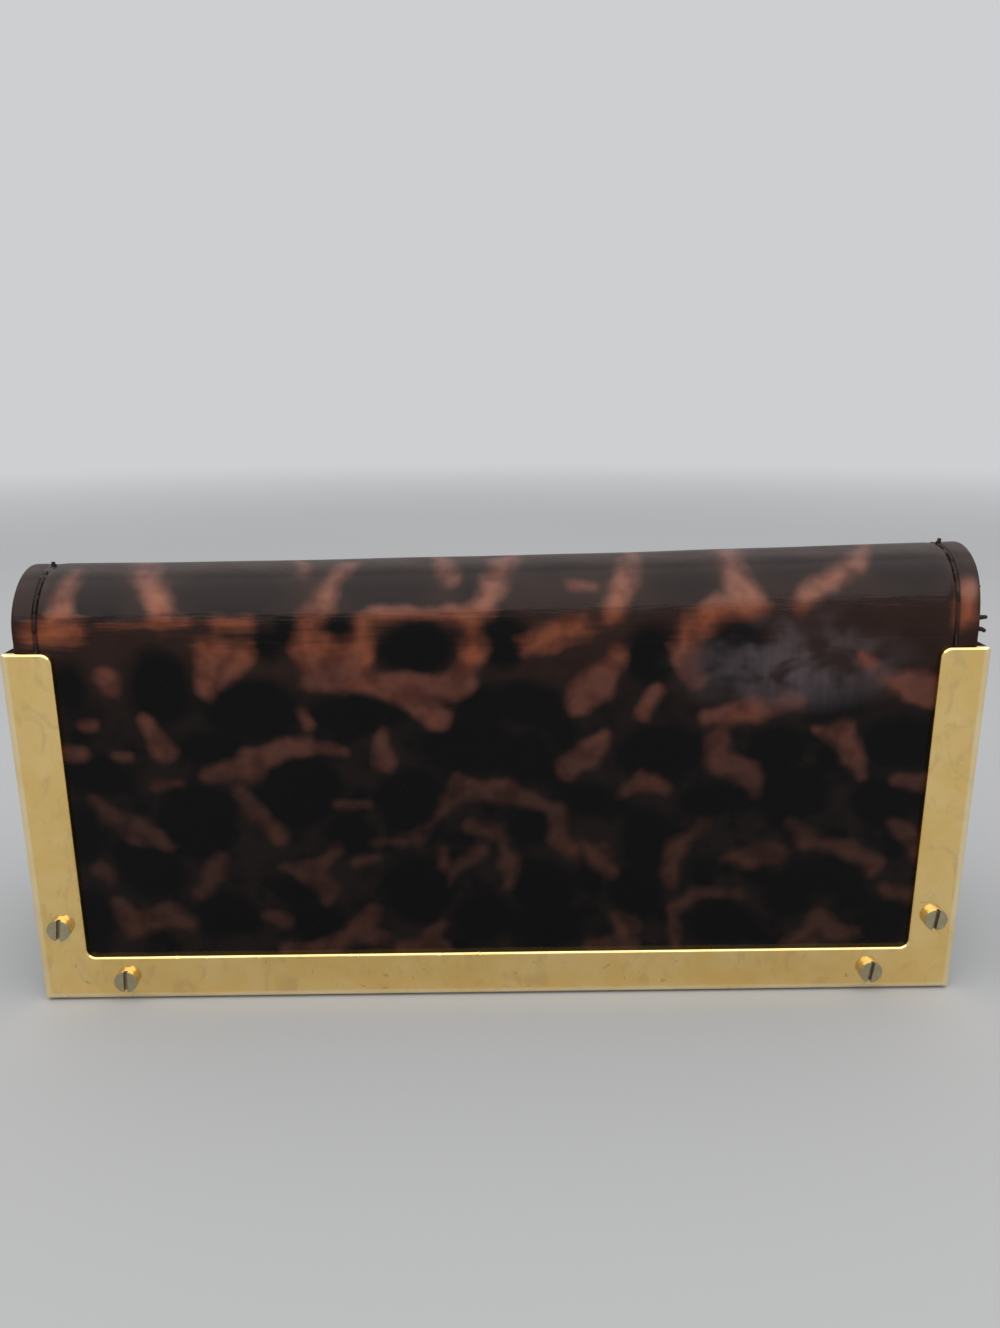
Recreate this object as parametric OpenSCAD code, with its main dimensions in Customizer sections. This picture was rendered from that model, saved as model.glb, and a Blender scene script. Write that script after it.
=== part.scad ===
// Hard sunglasses case. A padded body stands on its flat base and is open at the front.
// A flat front lid hangs from a leather hinge under the rounded roof, held shut by two magnets,
// and a brass corner frame guards the lid's two sides and its bottom edge.
// Millimetres. X runs along the case, Y from front to back, Z up. The origin is on the underside
// of the base, in the middle of the case's width and depth.

/* [Body] */
// Width of the body over its leather
body_w = 161; // [120:1:200]
// Height from the base to the crest of the roof
body_h = 78.6; // [72:0.2:92]
// Depth from the front of the corner frame to the back
case_d = 48; // [44:1:64]
// Radius of the roof's crest, next to the hinge
crest_r = 11; // [10:0.5:13]
// Radius of the shoulder between the roof and the back
shoulder_r = 22; // [18:1:24]
// Drop from the crest's centre to the shoulder's, where the back stops being flat
shoulder_drop = 17.6; // [14:0.2:24]
// Radius of the edge between the back and the base
heel_r = 10; // [6:0.5:14]
// Radius of the edge between the base and the front lip
toe_r = 2; // [1.2:0.1:2.2]
// Height of the front lip that the lid closes against
lip_h = 14; // [13:0.5:22]

/* [Layers] */
// Thickness of the leather
leather_t = 0.8; // [0.6:0.1:1.2]
// Thickness of the moulded shell
shell_t = 1.6; // [1.4:0.1:2.4]
// Thickness of the foam behind the body's lining
foam_t = 1.0; // [0.6:0.1:1.6]
// Thickness of the suede lining
lining_t = 0.6; // [0.4:0.1:0.8]
// Thickness of the boards in the two ends
end_board_t = 1.6; // [1.2:0.1:2.4]
// How far the leather wrap stands past the ends' own leather
wrap_overhang = 0.3; // [0.1:0.1:0.6]

/* [Lid] */
// How far the corner frame stands past each end of the body
frame_overhang = 2; // [1:0.1:3]
// Thickness of the corner frame
frame_t = 1.1; // [0.8:0.1:1.5]
// Width of the frame's two side bars
side_bar = 8.4; // [7:0.1:11]
// Height of the frame's bottom bar
bottom_bar = 8.3; // [7:0.1:11]
// Radius of each tab's inner top corner
tab_r = 1.8; // [0.5:0.1:3]
// Radius of the window's two lower corners
window_r = 1.5; // [0.5:0.1:3]
// Width of the bevel along the frame's outer edges
bevel_w = 1.0; // [0.4:0.1:1.4]
// Depth of that bevel
bevel_d = 0.5; // [0.2:0.1:0.6]
// Gap between the corner frame and the surface that the case stands on
lid_lift = 0.4; // [0.3:0.1:1]
// Thickness of the board in the lid
lid_board_t = 2.0; // [1.8:0.1:3]
// Thickness of the dark strip round the lid board's edges
edge_wrap_t = 0.7; // [0.5:0.1:1]
// How far the wrapped lid stays inside the corner frame's outline
frame_proud = 0.3; // [0.1:0.1:0.6]
// Thickness of the foam that pads the inside of the lid
lid_foam_t = 1.0; // [0.6:0.1:2]
// Free space round the lid's pad when it is shut
pad_gap = 1.6; // [1.2:0.1:3]
// Gap between the shut lid and the body's front edges
shut_gap = 0.3; // [0.2:0.1:0.6]

/* [Hinge] */
// Free leather above the hinge line, up to the roof's stiff layers
hinge_free = 0.6; // [0.4:0.1:1.5]
// Free leather below the hinge line, down to the tabs of the corner frame
hinge_rise = 1.5; // [1.2:0.1:2.5]
// Thickness of the strip that lines the hinge
hinge_strip_t = 0.4; // [0.3:0.1:0.6]

/* [Screws and magnets] */
// Diameter of a screw's head
head_dia = 4.1; // [3:0.1:5]
// Height of a screw's head
head_h = 1.2; // [0.8:0.1:1.6]
// Diameter of a screw's shank
shank_dia = 2.0; // [1.6:0.1:2.5]
// Width of the slot in a screw's head
slot_w = 0.7; // [0.4:0.1:1]
// Depth of that slot
slot_deep = 0.6; // [0.3:0.1:0.7]
// Distance of the upper screws from the frame's side edges
upper_inset = 4.4; // [3.8:0.1:5]
// Height of the upper screws above the frame's bottom edge
upper_rise = 14.4; // [12:0.1:24]
// Distance of the lower screws from the frame's side edges
lower_inset = 15.2; // [13:0.1:24]
// Height of the lower screws above the frame's bottom edge
lower_rise = 4.0; // [3.9:0.1:5]
// Diameter of the flange on a screw's nut
nut_flange_dia = 5.2; // [4.6:0.1:5.4]
// Thickness of that flange
nut_flange_t = 0.4; // [0.3:0.1:0.6]
// Wall of the nut's barrel
nut_wall = 0.7; // [0.5:0.1:0.8]
// Clearance round each shank and barrel
fit_gap = 0.05; // [0.03:0.01:0.1]
// Diameter of the magnets and of their catch plates
magnet_dia = 9; // [6:0.5:9]
// Thickness of the magnets
magnet_t = 1.4; // [1:0.1:1.5]
// Thickness of the catch plates
catch_t = 1.0; // [0.6:0.1:1.1]
// Distance of the magnets from the frame's side edges
magnet_inset = 37.5; // [30:0.5:50]
// Height of the magnets above the base
magnet_z = 8; // [7.2:0.1:8.3]

/* [Seams] */
// Distance of the seams from the ends of the leather wrap
seam_inset = 3.8; // [3:0.1:6]
// Thickness of the thread
thread_t = 0.3; // [0.2:0.1:0.5]

/* [Hidden] */

// Straight pieces in each arc of the section, and sides of a true circle
arc_n = 9;
$fn = 48;
// A cut runs this far past the surface that it opens
over = 1;
// An arc with a smaller radius than this is drawn as a square corner
least_arc = 0.2;

// Depths are measured back from the front face of the corner frame
front_y = -case_d / 2;
skin_d = frame_t;
board_d = skin_d + leather_t;
board_back_d = board_d + lid_board_t;
lid_back_d = board_back_d + lining_t;
lip_d = lid_back_d + shut_gap;

// Insets of the body's layers, measured in from the outside of the leather
t_shell = leather_t;
t_foam = t_shell + shell_t;
t_lining = t_foam + foam_t;
t_cavity = t_lining + lining_t;

// Half widths of the layers in the body's two ends, from the outside in
wrap_x = body_w / 2;
end_skin_x = wrap_x - wrap_overhang;
end_board_x = end_skin_x - leather_t;
end_lining_x = end_board_x - end_board_t;
cavity_x = end_lining_x - lining_t;

// Centres of the section's arcs, as [depth, height]
crest_c = [skin_d + crest_r, body_h - crest_r];
shoulder_c = [case_d - shoulder_r, crest_c.y - shoulder_drop];
heel_c = [case_d - heel_r, heel_r];
toe_c = [lip_d + toe_r, toe_r];
// Direction of the sloping roof's normal, which both of its arcs share
roof_gap = shoulder_c - crest_c;
roof_a = 90 - atan2(roof_gap.x, roof_gap.y) + acos((crest_r - shoulder_r) / norm(roof_gap));

// Heights of the hinge and the lid, from the roof down
roof_edge_z = crest_c.y - lining_t;
hinge_z = roof_edge_z - hinge_free;
tab_z = hinge_z - hinge_rise;
board_top_z = tab_z - edge_wrap_t;
frame_z = lid_lift;
wrap_z = frame_z + frame_proud;
board_z = wrap_z + edge_wrap_t;

// Half widths of the lid
frame_x = wrap_x + frame_overhang;
lid_x = frame_x - frame_proud;
board_x = lid_x - edge_wrap_t;
lid_skin_x = min(wrap_x, board_x);
window_x = frame_x - side_bar;
window_z = frame_z + bottom_bar;
// The lid's leather ends under the frame, this far inside the board's edge
skin_turn = 1;

// The end boards stop on a slope behind the hinge, from here up to the crest's centre
notch_z = tab_z + (crest_c.y - tab_z) / 4;
// The seams start this far above the hinge line and stop this far above the base
seam_start = 1;
seam_stop_a = -35;

screw_spots = [
    [frame_x - upper_inset, frame_z + upper_rise],
    [frame_x - lower_inset, frame_z + lower_rise]
];
magnet_x = frame_x - magnet_inset;
shank_r = shank_dia / 2;
barrel_r = shank_r + fit_gap + nut_wall;

leather_colour = [0.28, 0.14, 0.09];
dark_colour = [0.09, 0.06, 0.05];
lining_colour = [0.62, 0.45, 0.3];
foam_colour = [0.85, 0.83, 0.76];
board_colour = [0.55, 0.45, 0.33];
shell_colour = [0.16, 0.16, 0.17];
gold_colour = [0.88, 0.72, 0.36];
steel_colour = [0.7, 0.71, 0.73];

// Points of an arc about c, from angle a0 to angle a1
function arc(c, r, a0, a1) =
    [for (i = [0:arc_n]) let (a = a0 + (a1 - a0) * i / arc_n) c + r * [cos(a), sin(a)]];

// The roof and back at inset t, from the crest's front down to the base
function roof_path(t, stop_a = -90) = concat(
    arc(crest_c, crest_r - t, 180, roof_a),
    arc(shoulder_c, shoulder_r - t, roof_a, 0),
    arc(heel_c, heel_r - t, 0, stop_a)
);

// The corner between the base and the lip at inset t, square once t passes its radius
function toe_path(t) = t < toe_r - least_arc ? arc(toe_c, toe_r - t, 270, 180) : [[lip_d + t, t]];

// The whole C of the body's section at inset t, up to the top of the lip
function body_path(t) = concat(roof_path(t), toe_path(t), [[lip_d + t, lip_h]]);

function reversed(list) = [for (i = [len(list) - 1:-1:0]) list[i]];

// A layer of the section between two insets
module layer(t0, t1) {
    polygon(concat(body_path(t0), reversed(body_path(t1))));
}

// The outline that closes an end at inset t
module end_outline(t) {
    polygon(concat(roof_path(t), toe_path(leather_t), [[lip_d + leather_t, notch_z]]));
}

// Extrudes a section drawn as [depth, height] from x0 to x1
module along_x(x0, x1) {
    translate([x0, front_y, 0])
        rotate([90, 0, 90])
            linear_extrude(x1 - x0)
                children();
}

// Extrudes an outline drawn as [x, height] from depth d0 back to depth d1
module slab(d0, d1) {
    translate([0, front_y + d1, 0])
        rotate([90, 0, 0])
            linear_extrude(d1 - d0)
                children();
}

// A rectangle from x = -x1 to x1 and from height z0 to z1
module panel(x1, z0, z1) {
    translate([-x1, z0])
        square([2 * x1, z1 - z0]);
}

// Puts its children at each of the four screws
module at_screws() {
    for (side = [-1, 1], spot = screw_spots)
        translate([side * spot.x, spot.y])
            children();
}

// Puts its children at each of the two magnets
module at_magnets() {
    for (side = [-1, 1])
        translate([side * magnet_x, magnet_z])
            children();
}

module body_shell() {
    color(shell_colour)
        difference() {
            along_x(-end_lining_x, end_lining_x)
                layer(t_shell, t_foam);
            slab(lip_d + leather_t - over, lip_d + leather_t + catch_t)
                at_magnets()
                    circle(d = magnet_dia);
        }
}

module body_foam() {
    color(foam_colour)
        along_x(-cavity_x, cavity_x)
            layer(t_foam, t_lining);
}

module body_lining() {
    color(lining_colour)
        along_x(-cavity_x, cavity_x)
            layer(t_lining, t_cavity);
}

// The wrap starts at the hinge line and runs over the roof and down the back to the base
module back_cover() {
    color(leather_colour)
        difference() {
            along_x(-wrap_x, wrap_x)
                polygon(concat(
                    [[skin_d, hinge_z]],
                    roof_path(0),
                    reversed(roof_path(leather_t)),
                    [[skin_d + leather_t, hinge_z]]
                ));
            for (side = [-1, 1])
                seam(side, -over, thread_t);
        }
}

module base_cover() {
    color(dark_colour)
        along_x(-wrap_x, wrap_x)
            translate([toe_c.x, 0])
                square([heel_c.x - toe_c.x, leather_t]);
}

module lip_cover() {
    color(leather_colour)
        along_x(-wrap_x, wrap_x)
            polygon(concat(
                toe_path(0),
                [[lip_d, lip_h], [lip_d + leather_t, lip_h]],
                reversed(toe_path(leather_t))
            ));
}

module end_board(side) {
    color(board_colour)
        mirror([side < 0 ? 1 : 0, 0, 0])
            along_x(end_lining_x, end_board_x)
                end_outline(leather_t);
}

// The leather on an end, turned in over the front edge of its board and lining
module end_cover(side) {
    color(leather_colour)
        mirror([side < 0 ? 1 : 0, 0, 0]) {
            along_x(end_board_x, end_skin_x)
                end_outline(leather_t);
            along_x(cavity_x, end_skin_x)
                translate([lip_d, lip_h])
                    square([leather_t, notch_z - lip_h]);
        }
}

module end_lining(side) {
    color(lining_colour)
        mirror([side < 0 ? 1 : 0, 0, 0])
            along_x(cavity_x, end_lining_x)
                polygon(concat(
                    roof_path(t_foam),
                    [
                        [lip_d + t_foam, t_foam],
                        [lip_d + t_foam, lip_h],
                        [lip_d + leather_t, lip_h],
                        [lip_d + leather_t, notch_z]
                    ]
                ));
}

module catch_plates() {
    color(steel_colour)
        slab(lip_d + leather_t, lip_d + leather_t + catch_t)
            at_magnets()
                circle(d = magnet_dia - 2 * fit_gap);
}

// A band along one of the wrap's two seams, between two insets
module seam(side, t0, t1) {
    seam_x = side * (wrap_x - seam_inset);
    along_x(seam_x - thread_t / 2, seam_x + thread_t / 2)
        polygon(concat(
            [[skin_d + t0, hinge_z + seam_start]],
            roof_path(t0, seam_stop_a),
            reversed(roof_path(t1, seam_stop_a)),
            [[skin_d + t1, hinge_z + seam_start]]
        ));
}

// The stitching that holds the turned end of the wrap, drawn flush in its groove
module seam_thread(side) {
    color(dark_colour)
        seam(side, 0, thread_t);
}

// Lines the hinge from its line up, and closes the front edges of the roof's layers
module hinge_lining_upper() {
    color(lining_colour)
        along_x(-cavity_x, cavity_x)
            polygon([
                [board_d, hinge_z],
                [board_d + hinge_strip_t, hinge_z],
                [board_d + hinge_strip_t, roof_edge_z],
                [skin_d + t_cavity, roof_edge_z],
                [skin_d + t_cavity, crest_c.y],
                [board_d, crest_c.y]
            ]);
}

// The same strip below the hinge line, turned over the top edge of the lid
module hinge_lining_lower() {
    color(lining_colour)
        along_x(-cavity_x, cavity_x)
            polygon([
                [board_d, tab_z],
                [lid_back_d, tab_z],
                [lid_back_d, tab_z + hinge_strip_t],
                [board_d + hinge_strip_t, tab_z + hinge_strip_t],
                [board_d + hinge_strip_t, hinge_z],
                [board_d, hinge_z]
            ]);
}

module lid_board() {
    color(board_colour)
        difference() {
            slab(board_d, board_back_d)
                panel(board_x, board_z, board_top_z);
            slab(board_d - over, board_back_d + over)
                at_screws()
                    circle(barrel_r + fit_gap);
            slab(board_back_d - nut_flange_t, board_back_d + over)
                at_screws()
                    circle(nut_flange_dia / 2 + fit_gap);
            slab(board_back_d - magnet_t, board_back_d + over)
                at_magnets()
                    circle(magnet_dia / 2 + fit_gap);
        }
}

// The lid's share of the tortoiseshell leather, from under the frame up to the hinge line
module lid_cover() {
    color(leather_colour)
        slab(skin_d, board_d)
            difference() {
                panel(lid_skin_x, board_z + skin_turn, hinge_z);
                at_screws()
                    circle(shank_r + fit_gap);
            }
}

// The dark strip round the board's edges, cut back at the front to where the leather ends
module lid_edge_wrap() {
    color(dark_colour)
        difference() {
            slab(skin_d, lid_back_d)
                panel(lid_x, wrap_z, tab_z);
            slab(board_d, lid_back_d + over)
                panel(board_x, board_z, board_top_z);
            slab(skin_d - over, lid_back_d + over)
                panel(lid_skin_x, board_z + skin_turn, board_top_z);
            slab(skin_d - over, board_d)
                panel(lid_skin_x, board_z + skin_turn, tab_z + over);
            slab(skin_d - over, board_d + over)
                at_screws()
                    circle(shank_r + fit_gap);
        }
}

// Outline of the padded part of the lid, which sits inside the body's opening
module pad_outline(inset) {
    panel(
        cavity_x - pad_gap - inset,
        lip_h + pad_gap + inset,
        tab_z - pad_gap - inset
    );
}

module lid_foam() {
    color(foam_colour)
        slab(board_back_d, board_back_d + lid_foam_t)
            pad_outline(lining_t);
}

// The lining lies flat on the board and steps over the foam
module lid_lining() {
    color(lining_colour)
        difference() {
            union() {
                slab(board_back_d, lid_back_d)
                    panel(board_x, board_z, board_top_z);
                slab(board_back_d, board_back_d + lid_foam_t + lining_t)
                    pad_outline(0);
            }
            slab(board_back_d - over, board_back_d + lid_foam_t)
                pad_outline(lining_t);
        }
}

module lid_magnets() {
    color(steel_colour)
        slab(board_back_d - magnet_t, board_back_d)
            at_magnets()
                circle(d = magnet_dia);
}

// One side of the frame's outline, from the window's lower corner to the tab's outer corner
function frame_side() = concat(
    arc([window_x - window_r, window_z + window_r], window_r, -90, 0),
    arc([window_x + tab_r, tab_z - tab_r], tab_r, 180, 90),
    [[frame_x, tab_z], [frame_x, frame_z]]
);

function mirrored(points) = [for (p = reversed(points)) [-p.x, p.y]];

// The wedge that bevels an outer edge, drawn with the sharp edge at the origin
module bevel_wedge() {
    polygon([
        [-bevel_w, 0],
        [0, -bevel_d],
        [over, -bevel_d],
        [over, over],
        [-bevel_w, over]
    ]);
}

module corner_frame() {
    color(gold_colour)
        difference() {
            slab(0, frame_t)
                difference() {
                    polygon(concat(frame_side(), mirrored(frame_side())));
                    at_screws()
                        circle(shank_r + fit_gap);
                }
            for (side = [0, 1])
                mirror([side, 0, 0])
                    translate([frame_x, front_y, frame_z - over])
                        linear_extrude(tab_z - frame_z + 2 * over)
                            mirror([0, 1])
                                bevel_wedge();
            translate([-frame_x - over, front_y, frame_z])
                rotate([90, 0, 90])
                    linear_extrude(2 * (frame_x + over))
                        rotate(180)
                            mirror([1, 0])
                                rotate(90)
                                    bevel_wedge();
        }
}

// Slotted screws, whose heads stand on the frame
module frame_screws() {
    color(gold_colour)
        difference() {
            union() {
                slab(-head_h, 0)
                    at_screws()
                        circle(d = head_dia);
                slab(-over / 2, board_back_d)
                    at_screws()
                        circle(shank_r);
            }
            slab(-head_h - over, slot_deep - head_h)
                at_screws()
                    square([slot_w, head_dia + over], center = true);
        }
}

// Flanged nuts, sunk in the back of the lid board
module screw_nuts() {
    color(steel_colour)
        difference() {
            union() {
                slab(board_d, board_back_d)
                    at_screws()
                        circle(barrel_r);
                slab(board_back_d - nut_flange_t, board_back_d)
                    at_screws()
                        circle(d = nut_flange_dia);
            }
            slab(board_d - over, board_back_d + over)
                at_screws()
                    circle(shank_r + fit_gap);
        }
}

body_shell();
body_foam();
body_lining();
back_cover();
base_cover();
lip_cover();
end_board(-1);  // end_board_left
end_board(1);  // end_board_right
end_cover(-1);  // end_cover_left
end_cover(1);  // end_cover_right
end_lining(-1);  // end_lining_left
end_lining(1);  // end_lining_right
catch_plates();
seam_thread(-1);  // seam_thread_left
seam_thread(1);  // seam_thread_right
hinge_lining_upper();
hinge_lining_lower();
lid_board();
lid_cover();
lid_edge_wrap();
lid_foam();
lid_lining();
lid_magnets();
corner_frame();
frame_screws();
screw_nuts();
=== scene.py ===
"""Looks of a hard sunglasses case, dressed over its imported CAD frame.

Metres, in the CAD frame: +X along the case, +Y from the lid to the back, +Z up.
Sizes in the classes are millimetres, and MM turns them into metres where a mesh is made.
"""

import logging
import math
from dataclasses import dataclass, field
from enum import Enum
from functools import partialmethod
from typing import Any, Iterable

import bmesh
import bpy
import numpy as np
from mathutils import Matrix, Vector


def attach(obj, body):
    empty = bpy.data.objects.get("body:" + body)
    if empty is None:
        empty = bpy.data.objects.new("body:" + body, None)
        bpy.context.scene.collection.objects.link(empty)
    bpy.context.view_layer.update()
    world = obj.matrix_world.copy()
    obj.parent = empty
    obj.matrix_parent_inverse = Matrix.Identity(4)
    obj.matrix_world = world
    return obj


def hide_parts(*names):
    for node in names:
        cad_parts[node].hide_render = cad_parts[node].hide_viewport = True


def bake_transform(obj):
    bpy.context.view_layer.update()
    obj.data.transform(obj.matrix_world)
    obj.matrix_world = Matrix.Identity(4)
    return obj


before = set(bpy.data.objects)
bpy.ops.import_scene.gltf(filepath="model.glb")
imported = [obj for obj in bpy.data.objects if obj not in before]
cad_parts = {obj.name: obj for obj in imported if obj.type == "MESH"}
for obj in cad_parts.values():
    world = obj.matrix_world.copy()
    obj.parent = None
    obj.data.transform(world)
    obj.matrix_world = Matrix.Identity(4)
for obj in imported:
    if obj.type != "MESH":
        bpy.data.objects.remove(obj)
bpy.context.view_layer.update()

MM = 0.001
LOG = logging.getLogger("sunglasses_case")

Point = tuple[float, float]
Triple = tuple[float, float, float]
Colour = Triple
Material = bpy.types.Material
Mesh = bpy.types.Mesh
Node = bpy.types.Node
Object = bpy.types.Object
Socket = bpy.types.NodeSocket


class Side(Enum):
    """An end of the case, with the sign of its x."""

    LEFT = -1
    RIGHT = 1

    @property
    def word(self) -> str:
        """The end's name in small letters."""
        return self.name.lower()


class Body(Enum):
    """The two CAD bodies."""

    CASE = "case_body"
    LID = "front_lid"


class Slot(Enum):
    """The record's material slots."""

    TORTOISE = "tortoise_leather"
    DARK = "dark_leather"
    SUEDE = "suede_lining"
    SHELL = "moulded_shell"
    BOARD = "board"
    GOLD = "gold_brass"
    STEEL = "steel"
    NICKEL = "nickel"
    THREAD = "thread"


def smooth(low: float, high: float, value: np.ndarray) -> np.ndarray:
    """The share, from 0 to 1, that each value has risen smoothly from low to high."""
    t = np.clip((value - low) / (high - low), 0, 1)
    return t * t * (3 - 2 * t)


# The case's section


@dataclass(frozen=True)
class Section:
    """The outside of the leather as one line, from the lid's bottom edge over the roof to the base.

    A place on it is its run, the length from the height of the base, in millimetres.
    """

    depth: float = 48.0
    skin_d: float = 1.1
    crest: Point = (12.1, 67.6)
    crest_r: float = 11.0
    shoulder: Point = (26.0, 50.0)
    shoulder_r: float = 22.0
    heel: Point = (38.0, 10.0)
    heel_r: float = 10.0

    @property
    def slope_angle(self) -> float:
        """Angle of the sloping roof's normal above the horizontal.

        Returns:
            The angle in radians.
        """
        gap = np.subtract(self.shoulder, self.crest)
        tilt = math.acos((self.crest_r - self.shoulder_r) / math.hypot(*gap))
        return math.pi / 2 - math.atan2(gap[0], gap[1]) + tilt

    @property
    def runs(self) -> tuple[float, ...]:
        """Where the stretches of the section start.

        Returns:
            Runs at which the crest, the slope, the shoulder, the back and the heel start, and the end.
        """
        gap = np.subtract(self.shoulder, self.crest)
        lengths = [
            self.crest[1],
            self.crest_r * (math.pi - self.slope_angle),
            math.sqrt(gap @ gap - (self.crest_r - self.shoulder_r) ** 2),
            self.shoulder_r * self.slope_angle,
            self.shoulder[1] - self.heel[1],
            self.heel_r * math.pi / 2,
        ]
        return tuple(np.cumsum(lengths))

    def place(self, run: np.ndarray) -> tuple[np.ndarray, np.ndarray]:
        """Where runs lie.

        Args:
            run: lengths along the section.

        Returns:
            The points as [depth, height], and the outward normals in the same plane.
        """
        crest, slope, shoulder, back, heel, _ = starts = self.runs
        parts = [run < start for start in starts[:-1]]
        lean = self.slope_angle
        level = 0 * run
        angles = [
            level + math.pi,
            math.pi - (run - crest) / self.crest_r,
            level + lean,
            lean - (run - shoulder) / self.shoulder_r,
            level,
        ]
        angle = np.select(parts, angles, -(run - heel) / self.heel_r)
        normal = np.stack([np.cos(angle), np.sin(angle)], -1)
        top = np.add(self.crest, self.crest_r * np.array([math.cos(lean), math.sin(lean)]))
        down = np.array([math.sin(lean), -math.cos(lean)])
        points = [
            np.stack([level + self.skin_d, run], -1),
            self.crest + self.crest_r * normal,
            top + (run - slope)[..., None] * down,
            self.shoulder + self.shoulder_r * normal,
            np.stack([level + self.depth, self.shoulder[1] - (run - back)], -1),
        ]
        whole = [part[..., None] for part in parts]
        return np.select(whole, points, self.heel + self.heel_r * normal), normal

    def inside(self, inset: float, start: float, stop: float, step: float) -> np.ndarray:
        """Points of the line at an inset.

        Args:
            inset: distance in from the outside of the leather.
            start: first run.
            stop: last run.
            step: largest distance between two points.

        Returns:
            One row of [depth, height] per point.
        """
        marks = [start, *[r for r in self.runs if start < r < stop], stop]
        runs = [start]
        for low, high in zip(marks[:-1], marks[1:]):
            count = max(1, math.ceil((high - low) / step))
            runs += list(np.linspace(low, high, count + 1)[1:])
        point, normal = self.place(np.array(runs))
        return point - inset * normal


SECTION = Section()
HALF_W = 80.5
FRONT_Y = -24.0
SEAM_X = 76.7
HINGE_BEND = (67.0, 65.3)
# lift of the worn roof at the middle, its slope and its bend towards the ends
WORN_ROOF = (0.3, 1.55, 0.55)
WORN_Z = (66.4, 76.0)


def worn_lift(x: np.ndarray, z: np.ndarray) -> np.ndarray:
    """How far the worn roof stands off its shape, most at the right.

    Args:
        x: places along the case.
        z: heights.

    Returns:
        The lift in millimetres.
    """
    middle, slope, bend = WORN_ROOF
    u = x / 80
    return (middle + slope * u + bend * u * u) * smooth(*WORN_Z, z)


# Nodes written as Python


class Nodes:
    """A tree of nodes of any kind."""

    def __init__(self, tree: bpy.types.NodeTree) -> None:
        """Empties the tree and takes it on."""
        self.tree = tree
        tree.nodes.clear()

    def node(
        self,
        kind: str,
        settings: dict[str, Any] | None = None,
        sockets: dict[str | int, Any] | None = None,
    ) -> Node:
        """Adds any node.

        Args:
            kind: the node's type.
            settings: its settings, set first.
            sockets: values or links for its inputs, by name or number, as a list where several go in.

        Returns:
            The node.
        """
        made = self.tree.nodes.new(kind)
        for key, value in (settings or {}).items():
            setattr(made, key, value)
        for key, value in (sockets or {}).items():
            for part in value if isinstance(value, list) else [value]:
                part = part.outputs[0] if isinstance(part, Node) else getattr(part, "socket", part)
                if isinstance(part, Socket):
                    self.tree.links.new(part, made.inputs[key])
                else:
                    made.inputs[key].default_value = part
        return made


class Value:
    """A node's number that takes part in sums written as Python, each of which adds a Math node."""

    def __init__(self, nodes: Nodes, socket: Socket) -> None:
        """Wraps an output of a tree."""
        self.nodes, self.socket = nodes, socket

    def maths(self, operation: str, *others: "Value | float", last: bool = False) -> "Value":
        """Adds one Math node.

        Args:
            operation: the node's operation.
            others: the numbers that go in beside this one.
            last: puts this one after them.

        Returns:
            Its output.
        """
        numbers = (*others, self) if last else (self, *others)
        made = self.nodes.node("ShaderNodeMath", {"operation": operation}, dict(enumerate(numbers)))
        return Value(self.nodes, made.outputs[0])

    __add__ = partialmethod(maths, "ADD")
    __radd__ = partialmethod(maths, "ADD", last=True)
    __sub__ = partialmethod(maths, "SUBTRACT")
    __rsub__ = partialmethod(maths, "SUBTRACT", last=True)
    __mul__ = partialmethod(maths, "MULTIPLY")
    __rmul__ = partialmethod(maths, "MULTIPLY", last=True)
    __pow__ = partialmethod(maths, "POWER")
    __abs__ = partialmethod(maths, "ABSOLUTE")
    __truediv__ = partialmethod(maths, "DIVIDE")
    least = partialmethod(maths, "MINIMUM")
    most = partialmethod(maths, "MAXIMUM")

    def step(self, low: float, high: float, to: Point = (0.0, 1.0)) -> "Value":
        """A smooth step of this number.

        Args:
            low: where the step starts.
            high: where it ends.
            to: the numbers before and after it.

        Returns:
            The stepped number.
        """
        sockets = {"Value": self, "From Min": low, "From Max": high, "To Min": to[0], "To Max": to[1]}
        made = self.nodes.node("ShaderNodeMapRange", {"interpolation_type": "SMOOTHSTEP"}, sockets)
        return Value(self.nodes, made.outputs["Result"])


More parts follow.
